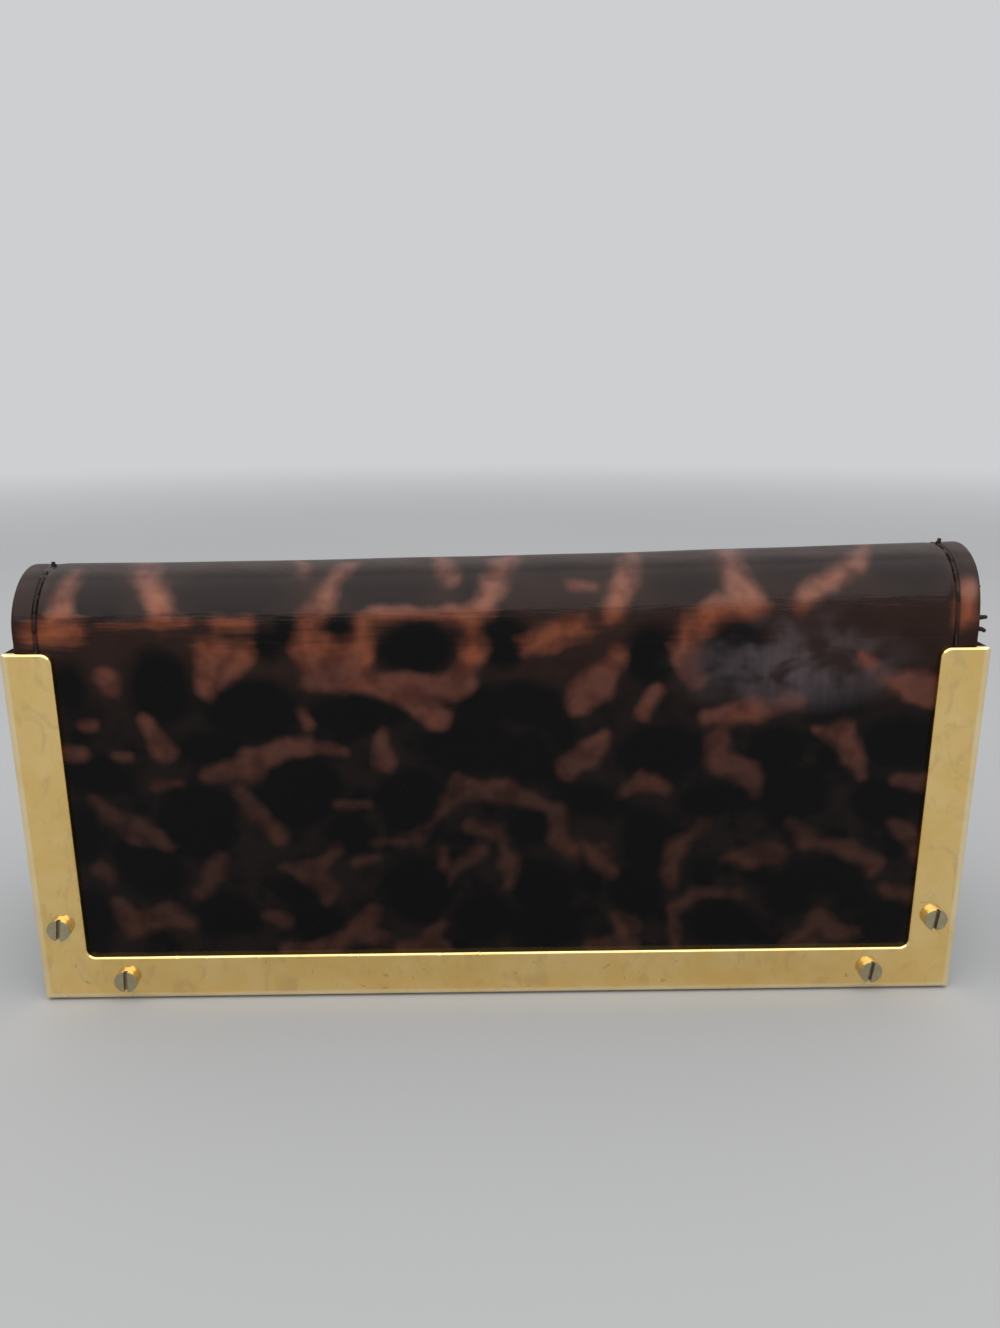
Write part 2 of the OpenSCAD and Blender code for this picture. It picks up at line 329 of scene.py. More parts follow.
class Shader(Nodes):
    """One material under construction."""

    def __init__(self, name: str) -> None:
        """Starts an empty material.

        Args:
            name: its name.
        """
        self.material = bpy.data.materials.new(name)
        self.material.use_nodes = True
        super().__init__(self.material.node_tree)

    def number(self, name: str) -> Value:
        """A number that the mesh carries at each vertex."""
        return Value(self, self.node("ShaderNodeAttribute", {"attribute_name": name}).outputs["Fac"])

    def places(self, name: str = "") -> Socket:
        """The coordinates that a pattern reads.

        Args:
            name: names coordinates that the mesh carries, or is empty for its Object coordinates.

        Returns:
            The coordinates.
        """
        if name:
            return self.node("ShaderNodeAttribute", {"attribute_name": name}).outputs["Vector"]
        return self.node("ShaderNodeTexCoord").outputs["Object"]

    def split(self, places: Socket) -> tuple[Value, ...]:
        """The three numbers of a vector."""
        made = self.node("ShaderNodeSeparateXYZ", None, {0: places})
        return tuple(Value(self, output) for output in made.outputs)

    def noise(
        self,
        places: Socket,
        scale: float | Triple,
        detail: float = 2.0,
        rough: float = 0.5,
        twist: float = 0.0,
    ) -> Value:
        """Soft random patches, from 0 to 1.

        Args:
            places: where it is read.
            scale: patches per unit of the coordinates, in all or on each axis.
            detail: how many finer layers it has.
            rough: how strong they are.
            twist: how far the patches are pulled about.

        Returns:
            The number.
        """
        if isinstance(scale, tuple):
            stretched = self.node("ShaderNodeVectorMath", {"operation": "MULTIPLY"}, {0: places, 1: scale})
            places, scale = stretched.outputs["Vector"], 1.0
        sockets = {"Vector": places, "Scale": scale, "Detail": detail, "Roughness": rough}
        made = self.node("ShaderNodeTexNoise", None, {**sockets, "Distortion": twist})
        return Value(self, made.outputs[0])

    def mix(self, share: Value | float, first: Any, second: Any, how: str = "MIX") -> Socket:
        """Mixes two colours.

        Args:
            share: how much of the second shows.
            first: a colour or a link.
            second: a colour or a link.
            how: the blend type.

        Returns:
            The mixed colour.
        """
        whole = [(*c, 1.0) if isinstance(c, tuple) else c for c in (first, second)]
        settings = {"data_type": "RGBA", "blend_type": how, "clamp_factor": True}
        return self.node("ShaderNodeMix", settings, {0: share, 6: whole[0], 7: whole[1]}).outputs[2]

    def relief(self, *layers: tuple[Value, float, float]) -> Socket:
        """The normal of heights laid over each other.

        Args:
            layers: each height from 0 to 1, what a height of 1 measures in metres, and its strength.

        Returns:
            The normal.
        """
        normal = None
        for height, reach, strength in layers:
            sockets = {"Height": height, "Distance": reach, "Strength": strength}
            under = {"Normal": normal} if normal else {}
            normal = self.node("ShaderNodeBump", None, {**sockets, **under}).outputs["Normal"]
        return normal

    def finish(self, colour: Any, rough: Any, normal: Socket, plain: dict[str, float]) -> Material:
        """Ends the material in one Principled shader.

        Args:
            colour: its base colour.
            rough: its roughness.
            normal: its relief.
            plain: its other sockets' values by name.

        Returns:
            The material.
        """
        sockets = {"Base Color": colour, "Roughness": rough, "Normal": normal, **plain}
        surface = self.node("ShaderNodeBsdfPrincipled", None, sockets)
        self.node("ShaderNodeOutputMaterial", None, {"Surface": surface})
        return self.material


# Finishes


@dataclass(frozen=True)
class TortoiseLeather:
    """Glossy coated leather with a printed tortoiseshell pattern.

    The mesh carries its flat coordinates in "sheet" (millimetres), the drawn marks' and spots'
    signed distances in "print_mm" and "spot_mm", and in "drawn" how far the drawing holds.
    """

    dark: Colour = (0.0013, 0.0010, 0.0012)
    dusk: Colour = (0.0088, 0.0052, 0.0042)
    # the browns lighten with height up the front and over the fold and the top: partly the print's own tone,
    # partly painted light and reflection that the upper front and the crest catch
    low_brown: Colour = (0.039, 0.0165, 0.0120)
    mid_brown: Colour = (0.104, 0.038, 0.027)
    fold_brown: Colour = (0.200, 0.060, 0.030)
    top_brown: Colour = (0.225, 0.092, 0.062)
    # duller, darker brown over the back of the crest: painted shade that dulls the marks where the overhead
    # lamps light the crest most
    crest_brown: Colour = (0.095, 0.044, 0.036)
    # ground over the front of the crest, lighter than the dark: partly wear, partly painted sheen where the
    # crest turns up
    worn_and_sheen_black: Colour = (0.026, 0.0145, 0.0115)
    rubbed: Colour = (0.094, 0.073, 0.080)
    # the dark line along each seam: partly the stitch holes and thread, partly painted shade in the seam's
    # groove
    stitch_and_groove_shade: Colour = (0.006, 0.0045, 0.004)
    # painted shade in the deep creases
    crease_shade: Colour = (0.012, 0.006, 0.005)
    dust: Colour = (0.22, 0.2, 0.19)
    amber: Colour = (1.5, 1.25, 0.9)
    shade: Colour = (0.5, 0.42, 0.42)
    gloss: float = 0.1
    ior: float = 1.23
    folds: tuple[Triple, ...] = ((70.8, 0.6, 0.2), (68.6, 0.4, 0.6), (66.4, 0.45, 0.7))

    def creases(self, s: Shader, sheet: Socket, run: Value) -> Value:
        """The few deep level wrinkles that the hinge has worked into the leather.

        Args:
            s: the material.
            sheet: the flat coordinates.
            run: the place along the section.

        Returns:
            How deep the creases are, from 0 to 1.
        """
        level = run + (s.noise(sheet, (0.035, 0.0, 0.0), 2.0, 0.55) - 0.5) * 4.4
        deep = [abs(level - at).step(0.0, wide, (dark, 0.0)) for at, wide, dark in self.folds]
        return (deep[0] + deep[1] + deep[2]) * s.noise(sheet, (0.07, 0.35, 0.0)).step(0.42, 0.66)

    def haze(self, s: Shader, sheet: Socket, x: Value, run: Value) -> Value:
        """The rubbed patch at the right of the lid, of fine upright strokes in a soft cloud.

        Args:
            s: the material.
            sheet: the flat coordinates.
            x: the place along the case.
            run: the place along the section.

        Returns:
            How rubbed the leather is, from 0 to 1.
        """
        across, up = (x - 49.5) / 24.0, (run - 62.0) / 10.0
        away = across * across + up * up
        patch = away.step(0.0, 1.05, (1.0, 0.0)) * away.step(0.0, 0.3, (1.0, 0.72))
        cloud = s.noise(sheet, (0.12, 0.17, 0.1), 2.0, 0.55, 0.2).step(0.36, 0.6, (0.12, 1.0))
        return patch * cloud * s.noise(sheet, (0.6, 0.08, 1.0), 3.0, 0.55).step(0.32, 0.68, (0.72, 1.0))

    def make(self) -> Material:
        """Builds the material.

        Returns:
            The material.
        """
        s = Shader("tortoise_leather")
        sheet = s.places("sheet")
        x, run, _ = s.split(sheet)
        drawn = s.number("drawn")
        deep = self.creases(s, sheet, run)
        streaks = s.noise(sheet, (0.075, 1.0, 0.0), 3.0, 0.6)
        fold = run.step(63.0, 66.5) * run.step(71.4, 72.6, (1.0, 0.0))
        free = (s.noise(sheet, (0.08, 0.1, 0.08), 2.0, 0.5, 0.55) - 0.55) * 22.0
        wander = (s.noise(sheet, 0.19, 1.0) - 0.5) * 2.6 + (s.noise(sheet, 0.6, 1.0) - 0.5) * 0.35
        wander = wander + (streaks - 0.5) * fold * x.step(-52, -36, (4.2, 1.5))
        soft = 1 - 0.4 * fold - run.step(71.5, 75.0, (0.0, 0.38))
        inside = (s.number("print_mm") * drawn + free * (1 - drawn) + wander) * soft
        outside = s.number("spot_mm") * drawn + (free + 4.0) * (1 - drawn) + wander * 0.8

        # the brown, and from run 50 the ground, lighten with height: partly print tone, partly painted light
        # and reflection; over the back of the crest the brown darkens again as painted shade
        brown = s.mix(run.step(34, 58), self.low_brown, self.mid_brown)
        brown = s.mix(run.step(60, 67), brown, self.fold_brown)
        brown = s.mix(run.step(70, 73), brown, self.top_brown)
        brown = s.mix(run.step(74, 81, (0.0, 0.8)), brown, self.crest_brown)
        brown = s.mix(s.noise(sheet, 0.2).step(0.38, 0.7, (0.0, 0.9)), brown, self.shade, "MULTIPLY")
        glow = s.noise(sheet, 0.11, 2.0, 0.5, 0.3).step(0.5, 0.66) * inside.step(0.2, 1.6)
        brown = s.mix(glow * run.step(71, 76, (0.75, 0.4)), brown, self.amber, "MULTIPLY")
        ground = s.mix(s.noise(sheet, 0.15).step(0.32, 0.62), self.dark, self.dusk)
        ground = s.mix(run.step(50, 68, (0.0, 0.5)), ground, self.low_brown)
        ground = s.mix(outside.step(-1.1, 2.1), self.dark, ground)
        # the ground lightens over the front of the crest: partly wear, partly painted sheen
        ground = s.mix(run.step(69, 74, (0.0, 0.5)), ground, self.worn_and_sheen_black)
        colour = s.mix(inside.step(-0.95, 1.1), ground, brown)

        haze = self.haze(s, sheet, x, run) * drawn
        # seam marks each seam's line: it sinks it in the relief and darkens it, partly for the stitch holes
        # and thread, partly as painted shade in the groove
        seam = abs(abs(x) - SEAM_X).step(0.12, 0.6, (1.0, 0.0)) * run.step(64.6, 65.2)
        specks = s.noise(sheet, 4.2, 1.0).step(0.74, 0.78)
        layers = (
            (haze * 0.78, self.rubbed),
            (seam * 0.65, self.stitch_and_groove_shade),
            # painted shade darkens the deep creases
            (deep * 0.35, self.crease_shade),
            (specks * 0.1, self.dust),
        )
        for share, over in layers:
            colour = s.mix(share, colour, over)
        scratches = s.noise(sheet, (0.4, 2.4, 1.0), 2.0, 0.5, 2.5).step(0.665, 0.7)
        worked = streaks * run.step(60.5, 65.0) * run.step(72.0, 75.0, (1.0, 0.0))
        normal = s.relief(
            (s.noise(sheet, 0.3, 3.0, 0.55), 0.0002, 0.5),
            (s.noise(sheet, 2.6), 0.00002, 0.5),
            (1 - deep, 0.00011, 0.7),
            (worked, 0.00014, 0.6),
            (1 - seam, 0.0003, 1.0),
            (1 - scratches, 0.000012, 0.6),
        )
        worn = s.noise(sheet, (0.1, 0.22, 0.1), 3.0, 0.6).step(0.4, 0.72, (0.0, 0.09))
        rough = self.gloss + haze * 0.26 + worn + scratches * 0.06 + run.step(69, 73, (0.0, 0.06))
        return s.finish(colour, rough + run.step(78, 84, (0.0, 0.24)), normal, {"IOR": self.ior})


@dataclass(frozen=True)
class DarkLeather:
    """Smooth dark brown leather."""

    colour: Colour = (0.007, 0.0048, 0.0042)
    pale: Colour = (0.019, 0.012, 0.0095)

    def make(self) -> Material:
        """Builds the material.

        Returns:
            The material.
        """
        s = Shader("dark_leather")
        places = s.places()
        patches = s.noise(places, 160.0, 3.0, 0.6)
        colour = s.mix(patches.step(0.35, 0.7), self.colour, self.pale)
        grain = s.relief((s.noise(places, 1500.0), 0.00006, 0.6))
        return s.finish(colour, patches.step(0.3, 0.7, (0.55, 0.7)), grain, {"IOR": 1.06})


@dataclass(frozen=True)
class Gold:
    """Polished gold-plated brass with smudges and hairline scratches."""

    colour: Colour = (0.90, 0.62, 0.22)
    pale: Colour = (0.95, 0.69, 0.29)
    smeared: Colour = (0.70, 0.50, 0.22)
    # painted highlight: a pale cream along the frame's rounded outer sides and bottom edge
    edge: Colour = (0.98, 0.84, 0.56)
    nicked: Colour = (0.46, 0.30, 0.12)

    def make(self) -> Material:
        """Builds the material.

        Returns:
            The material.
        """
        s = Shader("gold_brass")
        places = s.places()
        x, _, high = s.split(places)
        cloud = s.noise(places, 90.0, 3.0, 0.6, 0.6)
        smudge = s.noise(places, (240.0, 240.0, 144.0), 4.0, 0.65, 1.4)
        # rim covers the frame's outer sides and its bottom edge, where a painted highlight lightens the gold
        rim = abs(x).step(0.08105, 0.0815).most(high.step(0.0013, 0.0017, (1.0, 0.0)))
        nicks = s.noise(places, 640.0).step(0.69, 0.75) * high.step(0.012, 0.026, (1.0, 0.3))
        lines = abs(s.noise(places, 150.0, 2.0, 0.5, 2.0) - 0.5).step(0.0, 0.007, (1.0, 0.0))
        lines = lines * s.noise(places, 75.0, 1.0).step(0.54, 0.6)
        colour = s.mix(cloud.step(0.35, 0.7), self.colour, self.pale)
        colour = s.mix(smudge.step(0.5, 0.68, (0.0, 0.55)), colour, self.smeared)
        colour = s.mix(rim * cloud.step(0.3, 0.6, (0.45, 0.75)), colour, self.edge)
        colour = s.mix(nicks * 0.5, colour, self.nicked)
        rough = cloud.step(0.3, 0.75, (0.08, 0.15)) + smudge.step(0.52, 0.7, (0.0, 0.12)) + lines * 0.12
        normal = s.relief(
            (s.noise(places, 130.0), 0.00007, 0.45),
            (s.noise(places, (900.0, 900.0, 90.0)), 0.000004, 0.5),
            (1 - nicks, 0.00005, 0.7),
            (1 - lines, 0.00001, 0.6),
        )
        return s.finish(colour, rough, normal, {"Metallic": 1.0})


@dataclass(frozen=True)
class RubbedGold:
    """The screws' plating: gold on the sides of the heads, rubbed to grey on their faces."""

    gold: Colour = (0.64, 0.52, 0.29)
    grey: Colour = (0.39, 0.345, 0.23)
    # painted shade in the screws' slots
    slot_shade: Colour = (0.27, 0.22, 0.14)
    face_y: float = -0.02508
    slot_reach: float = 0.0018
    soft: Point = (0.00006, 0.00009)
    spots: tuple[Point, ...] = ((0.0781, 0.0148), (0.0673, 0.0044))

    def make(self) -> Material:
        """Builds the material.

        Returns:
            The material.
        """
        s = Shader("rubbed_gold")
        places = s.places()
        x, depth, high = s.split(places)
        apart = [((abs(x) - wide) ** 2 + (high - up) ** 2) ** 0.5 for wide, up in self.spots]
        inner = apart[0].least(apart[1]).step(self.slot_reach, self.slot_reach + self.soft[0], (1.0, 0.0))
        flat = depth.step(self.face_y, self.face_y + self.soft[1], (1.0, 0.0))
        patches = s.noise(places, 900.0, 3.0, 0.6)
        face = flat * patches.step(0.25, 0.6, (0.6, 1.0))
        # the slots below the faces are darkened with painted shade
        colour = s.mix(inner * (1 - flat) * 0.9, s.mix(face, self.gold, self.grey), self.slot_shade)
        brushed = s.relief((s.noise(places, (900.0, 900.0, 4500.0), 3.0, 0.6), 0.000012, 0.6))
        rough = face * 0.14 + patches.step(0.3, 0.7, (0.22, 0.34))
        return s.finish(colour, rough, brushed, {"Metallic": 1.0})


@dataclass(frozen=True)
class Suede:
    """Short-napped suede cloth with a soft mottled pile."""

    colour: Colour = (0.30, 0.165, 0.088)
    pale: Colour = (0.43, 0.255, 0.145)
    pile_shade: Colour = (0.5, 0.46, 0.42)

    def make(self) -> Material:
        """Builds the material.

        Returns:
            The material.
        """
        s = Shader("suede_lining")
        places = s.places("rest")
        nap = s.noise(places, 110.0, 4.0, 0.62, 0.35)
        pile = s.noise(places, 2600.0, 2.0, 0.6)
        colour = s.mix(nap.step(0.3, 0.74), self.colour, self.pale)
        colour = s.mix(pile.step(0.3, 0.72, (0.0, 0.4)), colour, self.pile_shade, "MULTIPLY")
        plain = {"Sheen Weight": 0.35, "Sheen Roughness": 0.5, "Specular IOR Level": 0.2}
        rough = nap.step(0.3, 0.7, (0.82, 0.95))
        return s.finish(colour, rough, s.relief((nap, 0.0003, 0.3), (pile, 0.00009, 0.8)), plain)


@dataclass(frozen=True)
class Thread:
    """Dark waxed sewing thread, twisted."""

    colour: Colour = (0.012, 0.0085, 0.0075)
    pale: Colour = (0.035, 0.025, 0.02)

    def make(self) -> Material:
        """Builds the material.

        Returns:
            The material.
        """
        s = Shader("thread")
        twist = s.noise(s.places("rest"), (2600.0, 2600.0, 1500.0))
        colour = s.mix(twist.step(0.35, 0.65), self.colour, self.pale)
        return s.finish(colour, 0.6, s.relief((twist, 0.00005, 0.8)), {"IOR": 1.25})


@dataclass(frozen=True)
class Metal:
    """Plain brushed metal of the hidden fittings."""

    name: str
    colour: Colour
    rough: float

    def make(self) -> Material:
        """Builds the material.

        Returns:
            The material.
        """
        s = Shader(self.name)
        brushed = s.noise(s.places(), (300.0, 300.0, 5000.0), 3.0, 0.6)
        share = brushed.step(0.3, 0.7)
        colour = s.mix(share, self.colour, tuple(0.8 * c for c in self.colour))
        rough = brushed.step(0.3, 0.7, (self.rough, self.rough + 0.15))
        return s.finish(colour, rough, s.relief((brushed, 0.00001, 0.5)), {"Metallic": 1.0})


@dataclass(frozen=True)
class Pressed:
    """Fibreboard or moulded shell: a speckled dull sheet."""

    name: str
    colour: Colour
    fleck: Colour

    def make(self) -> Material:
        """Builds the material.

        Returns:
            The material.
        """
        s = Shader(self.name)
        fibres = s.noise(s.places(), (900.0, 900.0, 300.0), 4.0, 0.65, 0.5)
        colour = s.mix(fibres.step(0.4, 0.65), self.colour, self.fleck)
        return s.finish(colour, fibres.step(0.3, 0.7, (0.6, 0.85)), s.relief((fibres, 0.00006, 0.7)), {})


class Finishes:
    """Every material of the case, each built once."""

    def __init__(self) -> None:
        """Builds them all."""
        finishes = (
            TortoiseLeather(),
            DarkLeather(),
            Suede(),
            Pressed("moulded_shell", (0.019, 0.019, 0.021), (0.034, 0.034, 0.037)),
            Pressed("board", (0.22, 0.145, 0.08), (0.35, 0.25, 0.15)),
            Gold(),
            Metal("steel", (0.56, 0.56, 0.57), 0.28),
            Metal("nickel", (0.68, 0.66, 0.62), 0.18),
            Thread(),
        )
        # in the order of the slots
        self.by_slot: dict[Slot, Material] = {slot: finish.make() for slot, finish in zip(Slot, finishes)}
        self.rubbed: Material = RubbedGold().make()

    def __getitem__(self, slot: Slot) -> Material:
        """The material of a slot."""
        return self.by_slot[slot]


# The drawn pattern


@dataclass(frozen=True)
class TortoisePrint:
    """The amber marks and the dark spots of the tortoiseshell on the front and the crest.

    A mark is a tapering stroke through points of (x, run, half width). A spot is an oval of
    (x, run, half width, half height) that stays dark. All are millimetres.
    """

    marks: tuple[tuple[Triple, ...], ...] = (
        ((-65.5, 60.3, 2), (-65.3, 58.6, 1.7)), ((-70.5, 52, 1), (-68.5, 52, 1)),
        ((-59.9, 53.1, 0.9), (-57.1, 47.5, 2.2)), ((-74.2, 47.2, 1.5), (-71.3, 47, 1.1)),
        ((-65.5, 46.7, 0.6), (-63.5, 46.7, 0.6)), ((-59, 41.2, 0.9), (-55, 41.6, 0.9)),
        ((-50.2, 43, 1.2), (-42.7, 44.8, 2.5), (-36.6, 48.1, 1.7), (-26.6, 47, 0.8)),
        ((-45, 39.8, 1.1), (-42.5, 36.5, 1.4), (-38.5, 31, 1.7)), ((-63.2, 33.7, 1.9), (-58.5, 30.8, 1.5)),
        ((-64.3, 31.3, 0.9), (-57.5, 30.2, 0.9)), ((-70, 38.6, 0.9), (-66, 35, 1.8)),
        ((-70.3, 25.3, 1.7), (-69, 24.3, 1.3)), ((-49, 27.8, 1.1), (-50.5, 24.5, 1.9), (-53.2, 21, 1.2)),
        ((-68, 18.8, 1.3), (-65.5, 14.8, 2.4), (-60, 16.3, 2.2), (-55.5, 14.5, 1.5)),
        ((-41.5, 16.2, 1.1), (-38.7, 15, 1.6)), ((-39, 25.6, 0.6), (-34, 24.5, 1.3), (-29, 28.3, 1.3)),
        ((-33.5, 24.7, 1.5), (-30.5, 21, 1.6), (-31, 18.5, 0.9)),
        ((-39, 9.3, 1.2), (-31, 9.5, 1.5), (-25.5, 13.3, 1.8), (-22.5, 16.3, 1.4)),
        ((-24, 12, 1.9), (-21, 11.5, 1.2)), ((-18, 9.3, 1.5), (-11, 9, 2.1)),
        ((-12.5, 12, 1.4), (-10.5, 14, 1)), ((-25.5, 26.3, 1), (-22, 27, 0.8)),
        ((-22, 29.8, 0.8), (-14.5, 30.7, 1.1)), ((-28.5, 37.5, 0.8), (-23, 37.3, 0.8)),
        ((-13, 33.5, 0.9), (-9, 37.5, 1.2), (-5, 39.5, 1.4)), ((-7.5, 41.3, 0.9), (0, 39.5, 1.9)),
        ((-20, 49.5, 1.5), (-19.5, 45, 1.7)), ((-10, 28.5, 0.9), (-9.8, 23, 1)),
        ((-9.5, 23.5, 0.9), (-3, 28.5, 1.3)), ((-5.5, 33.2, 1.2), (-1, 31.5, 1.4)),
        ((0, 31, 0.9), (1.7, 26, 1.6), (1.5, 21.5, 1)), ((-33.5, 54, 1), (-32.5, 52.5, 0.9)),
        ((-31, 60.5, 1.9), (-24, 59.5, 2.1), (-16, 58, 2.5), (-8, 58.5, 2.1), (-5, 59, 1.4)),
        ((-14.5, 57, 2.3), (-11, 53, 2.3)), ((-22.5, 70, 1.3), (-23.5, 64, 1.9), (-24.5, 61, 1.9)),
        ((-29, 64.5, 2.4), (-23.5, 63, 2.4)), ((-31.5, 70.5, 1.3), (-32.5, 64, 1.5), (-31.5, 60, 1.7)),
        ((-5, 70.5, 1.3), (-4, 64, 1.6), (-6, 60, 1.7)), ((-21, 71.3, 0.8), (-6, 71, 0.8)),
        ((-49, 65.5, 1.4), (-43, 64.5, 1.8)), ((-48.5, 63.5, 1.9), (-49.5, 58, 1.5)),
        ((-43, 63.5, 1.7), (-46.5, 59.5, 1.4)), ((-46.5, 70, 1.2), (-42, 69.8, 1.2)),
        ((-77, 68.3, 2.1), (-70.5, 68, 1.9)), ((-66, 69.4, 0.1), (-52, 69.8, 0.2)),
        ((-71.5, 81, 1), (-72.5, 72.5, 1.5), (-74, 70.5, 1.2)),
        ((-63, 90, 2), (-60, 80, 1.9), (-57, 75.5, 1.8), (-56, 72, 2.3)),
        ((-25.3, 82, 1.2), (-29, 73.5, 1.4), (-32, 70.5, 1.4)), ((-9.7, 90, 1.7), (-8.5, 77.5, 1.5)),
        ((1.8, 90, 2.1), (1, 81.5, 1.7), (-1, 76, 1.8), (-2.5, 72, 1.5)), ((-35, 88, 1.2), (-33, 80, 0.9)),
        ((4, 65, 1.4), (8, 66.5, 1.9), (13.5, 68.8, 1.7)),
        ((19.5, 62.5, 2.1), (16, 58.5, 2.8), (13.5, 56, 2.6)), ((26.5, 58, 1.2), (24.5, 53.5, 1.4)),
        ((31, 68, 1.3), (31, 63, 1.7), (33.5, 59, 1.6)), ((35, 70.5, 1.4), (43, 71.5, 1.4)),
        ((38.5, 90, 2.1), (39.5, 80, 1.5), (40, 75, 1.8), (41.5, 72.5, 2.3)),
        ((36.5, 71.5, 1.5), (33.5, 68.5, 1.5)),
        ((50.5, 72, 1.3), (55, 74.5, 1.5), (60.5, 78.5, 1.3), (66, 90, 1.5)),
        ((23.5, 90, 1.7), (22, 80.5, 1.4), (20.5, 75, 1.7), (19, 71.5, 1.8)),
        ((12, 75.5, 0.2), (16, 75, 0.3)),
        ((35.5, 53, 1.3), (43, 54, 2.1), (50.5, 55.5, 1.5)),
        ((37.5, 48, 1.9), (38, 45, 2.3), (43, 42.5, 2), (44.5, 38.5, 1.1)),
        ((18, 49.5, 1.1), (15.5, 46, 2.2), (11.5, 43.3, 1.9)),
        ((21.5, 38.7, 0.8), (25, 41, 1.8), (28.5, 40, 1.4)),
        ((54.5, 50.3, 0.9), (59, 49.8, 1.7), (61, 45.5, 1.8), (63, 41.5, 0.9)),
        ((65.5, 59.3, 1.5), (71, 58, 2.7), (75, 57, 2.9)), ((61, 63.5, 1.1), (63, 61.5, 1.2)),
        ((69, 41, 0.9), (75, 40.5, 1.7)), ((69, 33, 0.9), (72, 31, 1.4), (74, 27, 1.7)),
        ((0, 39.3, 1.7), (5, 38, 1.3), (9.5, 36, 1.4)), ((10, 35, 1.5), (10, 31, 1.6), (12.5, 28.3, 1.7)),
        ((14.5, 29.5, 0.9), (17, 27.5, 1.8), (20, 24, 1.1)),
        ((35.5, 32.5, 1.1), (31.5, 28.5, 1.5), (30, 23.5, 1.3), (30.5, 21, 0.8)),
        ((39.5, 26.5, 0.9), (45, 26.5, 2.1), (49, 27, 1.7)),
        ((51, 33, 0.9), (54.5, 29.5, 1.4), (62, 28, 1.5), (66.5, 25, 1.8), (66.5, 23, 1.2)),
        ((31, 16.5, 1.2), (35, 19.3, 1.2), (43, 19.5, 0.8)),
        ((20.5, 15, 1), (22.5, 12.5, 1.9), (24.5, 12.5, 0.8)), ((16, 9.3, 1.2), (24, 9.5, 1.4)),
        ((31, 16, 0.9), (32, 9.5, 1.1)),
        ((54.5, 10.5, 1.4), (58, 14, 1.9), (61, 11.5, 1.8), (66, 11.5, 0.7)),
        ((69, 20, 1.1), (74, 18.5, 1.9)), ((52, 9.3, 0.9), (57, 9, 0.9)),
        ((78.6, 73, 1.5), (78.2, 69.5, 1.6)),
    )
    spots: tuple[tuple[float, float, float, float], ...] = (
        (-68.2, 43.1, 5.5, 3.1), (-72.1, 58.7, 2.6, 3.9), (-57.1, 58.7, 4.8, 6), (-42.1, 54.8, 7.5, 5),
        (-25.4, 53.7, 7.2, 3.4), (-13.8, 65.3, 6.4, 4.4), (-27.1, 68.4, 2.5, 2.4), (-35.4, 67.5, 2.4, 2.8),
        (-48.5, 47.5, 6.5, 3), (-52.7, 34.2, 7, 7), (-34.3, 39.8, 6.8, 6.4), (-15.4, 37.5, 5.8, 6.2),
        (-5.4, 47.8, 8.5, 4.8), (-61.6, 25.3, 5.8, 5.2), (-35.4, 20.9, 3.4, 3), (-32.7, 14.4, 5, 3.4),
        (-48.8, 16.4, 5, 4), (-14.3, 20.9, 6.5, 6.3), (-3.2, 15.3, 5.8, 4.2), (-72, 32, 2.6, 4.4),
        (-72.5, 15.3, 3, 5.5), (-26.5, 32, 4.2, 3.8), (0.6, 66.3, 3.9, 4.4), (-38.5, 66, 2.6, 2.4),
        (-2.8, 55, 6, 3.2), (4, 55.5, 6, 3.6), (25.6, 63.7, 4.3, 4.8), (39.6, 64.4, 5, 5.4),
        (27.8, 46.4, 7.2, 5), (47.8, 46.2, 4.8, 4.2), (51, 38.5, 6.3, 5.2), (68.9, 47.6, 6.8, 4.3),
        (66.7, 36.5, 5.4, 4.2), (15.6, 37.6, 4.4, 3), (4.4, 45.5, 5, 4.2), (25.6, 29.8, 4.2, 6.2),
        (36.7, 37.4, 5.6, 3.4), (4.9, 32.5, 3.4, 3.8), (7.8, 20.9, 5.4, 5.2), (58.3, 22.6, 6.6, 3.8),
        (40, 13.6, 6.6, 4.2), (8.9, 13.1, 6.3, 4), (68.9, 12.6, 4.6, 4.2), (24, 20.5, 4.6, 4.2),
        (51.5, 19, 4.4, 3.6), (58, 55.3, 5, 2.6), (-66.6, 75.3, 4.4, 4.4), (-44.3, 75.8, 9.5, 4.4),
        (-18.8, 76.4, 7.2, 4.2), (-4.6, 76.3, 1.9, 4.4), (30.5, 76, 5, 3.6), (49, 78.4, 5.5, 2.8),
        (10, 79.5, 5.5, 2), (69, 77, 6, 3.5),
    )
    soft: float = 0.55
    swerve: float = 2.4
    reach: float = 6.0

    def inside_marks(self, x: np.ndarray, run: np.ndarray) -> np.ndarray:
        """How far points lie inside the nearest mark.

        Args:
            x: their places along the case.
            run: their places along the section.

        Returns:
            The millimetres, negative outside the marks.
        """
        total = np.zeros(x.shape)
        # past what the photograph shows of the crest, the strokes swerve
        x = x + self.swerve * smooth(79.0, 91.0, run) * np.sin(0.31 * x + 0.35 * run)
        for mark in self.marks:
            for (x0, run0, half0), (x1, run1, half1) in zip(mark[:-1], mark[1:]):
                along = np.array([x1 - x0, run1 - run0])
                share = np.clip(((x - x0) * along[0] + (run - run0) * along[1]) / (along @ along), 0, 1)
                gap = np.hypot(x - x0 - share * along[0], run - run0 - share * along[1])
                half = half0 + (half1 - half0) * share
                total += np.exp(np.clip((half - gap) / self.soft, -30, 12))
        return np.clip(self.soft * np.log(total + 1e-5), -self.reach, 4)

    def outside_spots(self, x: np.ndarray, run: np.ndarray) -> np.ndarray:
        """How far points lie outside the nearest dark spot.

        Args:
            x: their places along the case.
            run: their places along the section.

        Returns:
            The millimetres, negative in a spot.
        """
        nearest = np.full(x.shape, self.reach)
        for x0, run0, wide, high in self.spots:
            gap = (np.hypot((x - x0) / wide, (run - run0) / high) - 1) * min(wide, high)
            nearest = np.minimum(nearest, gap)
        return nearest


# Meshes


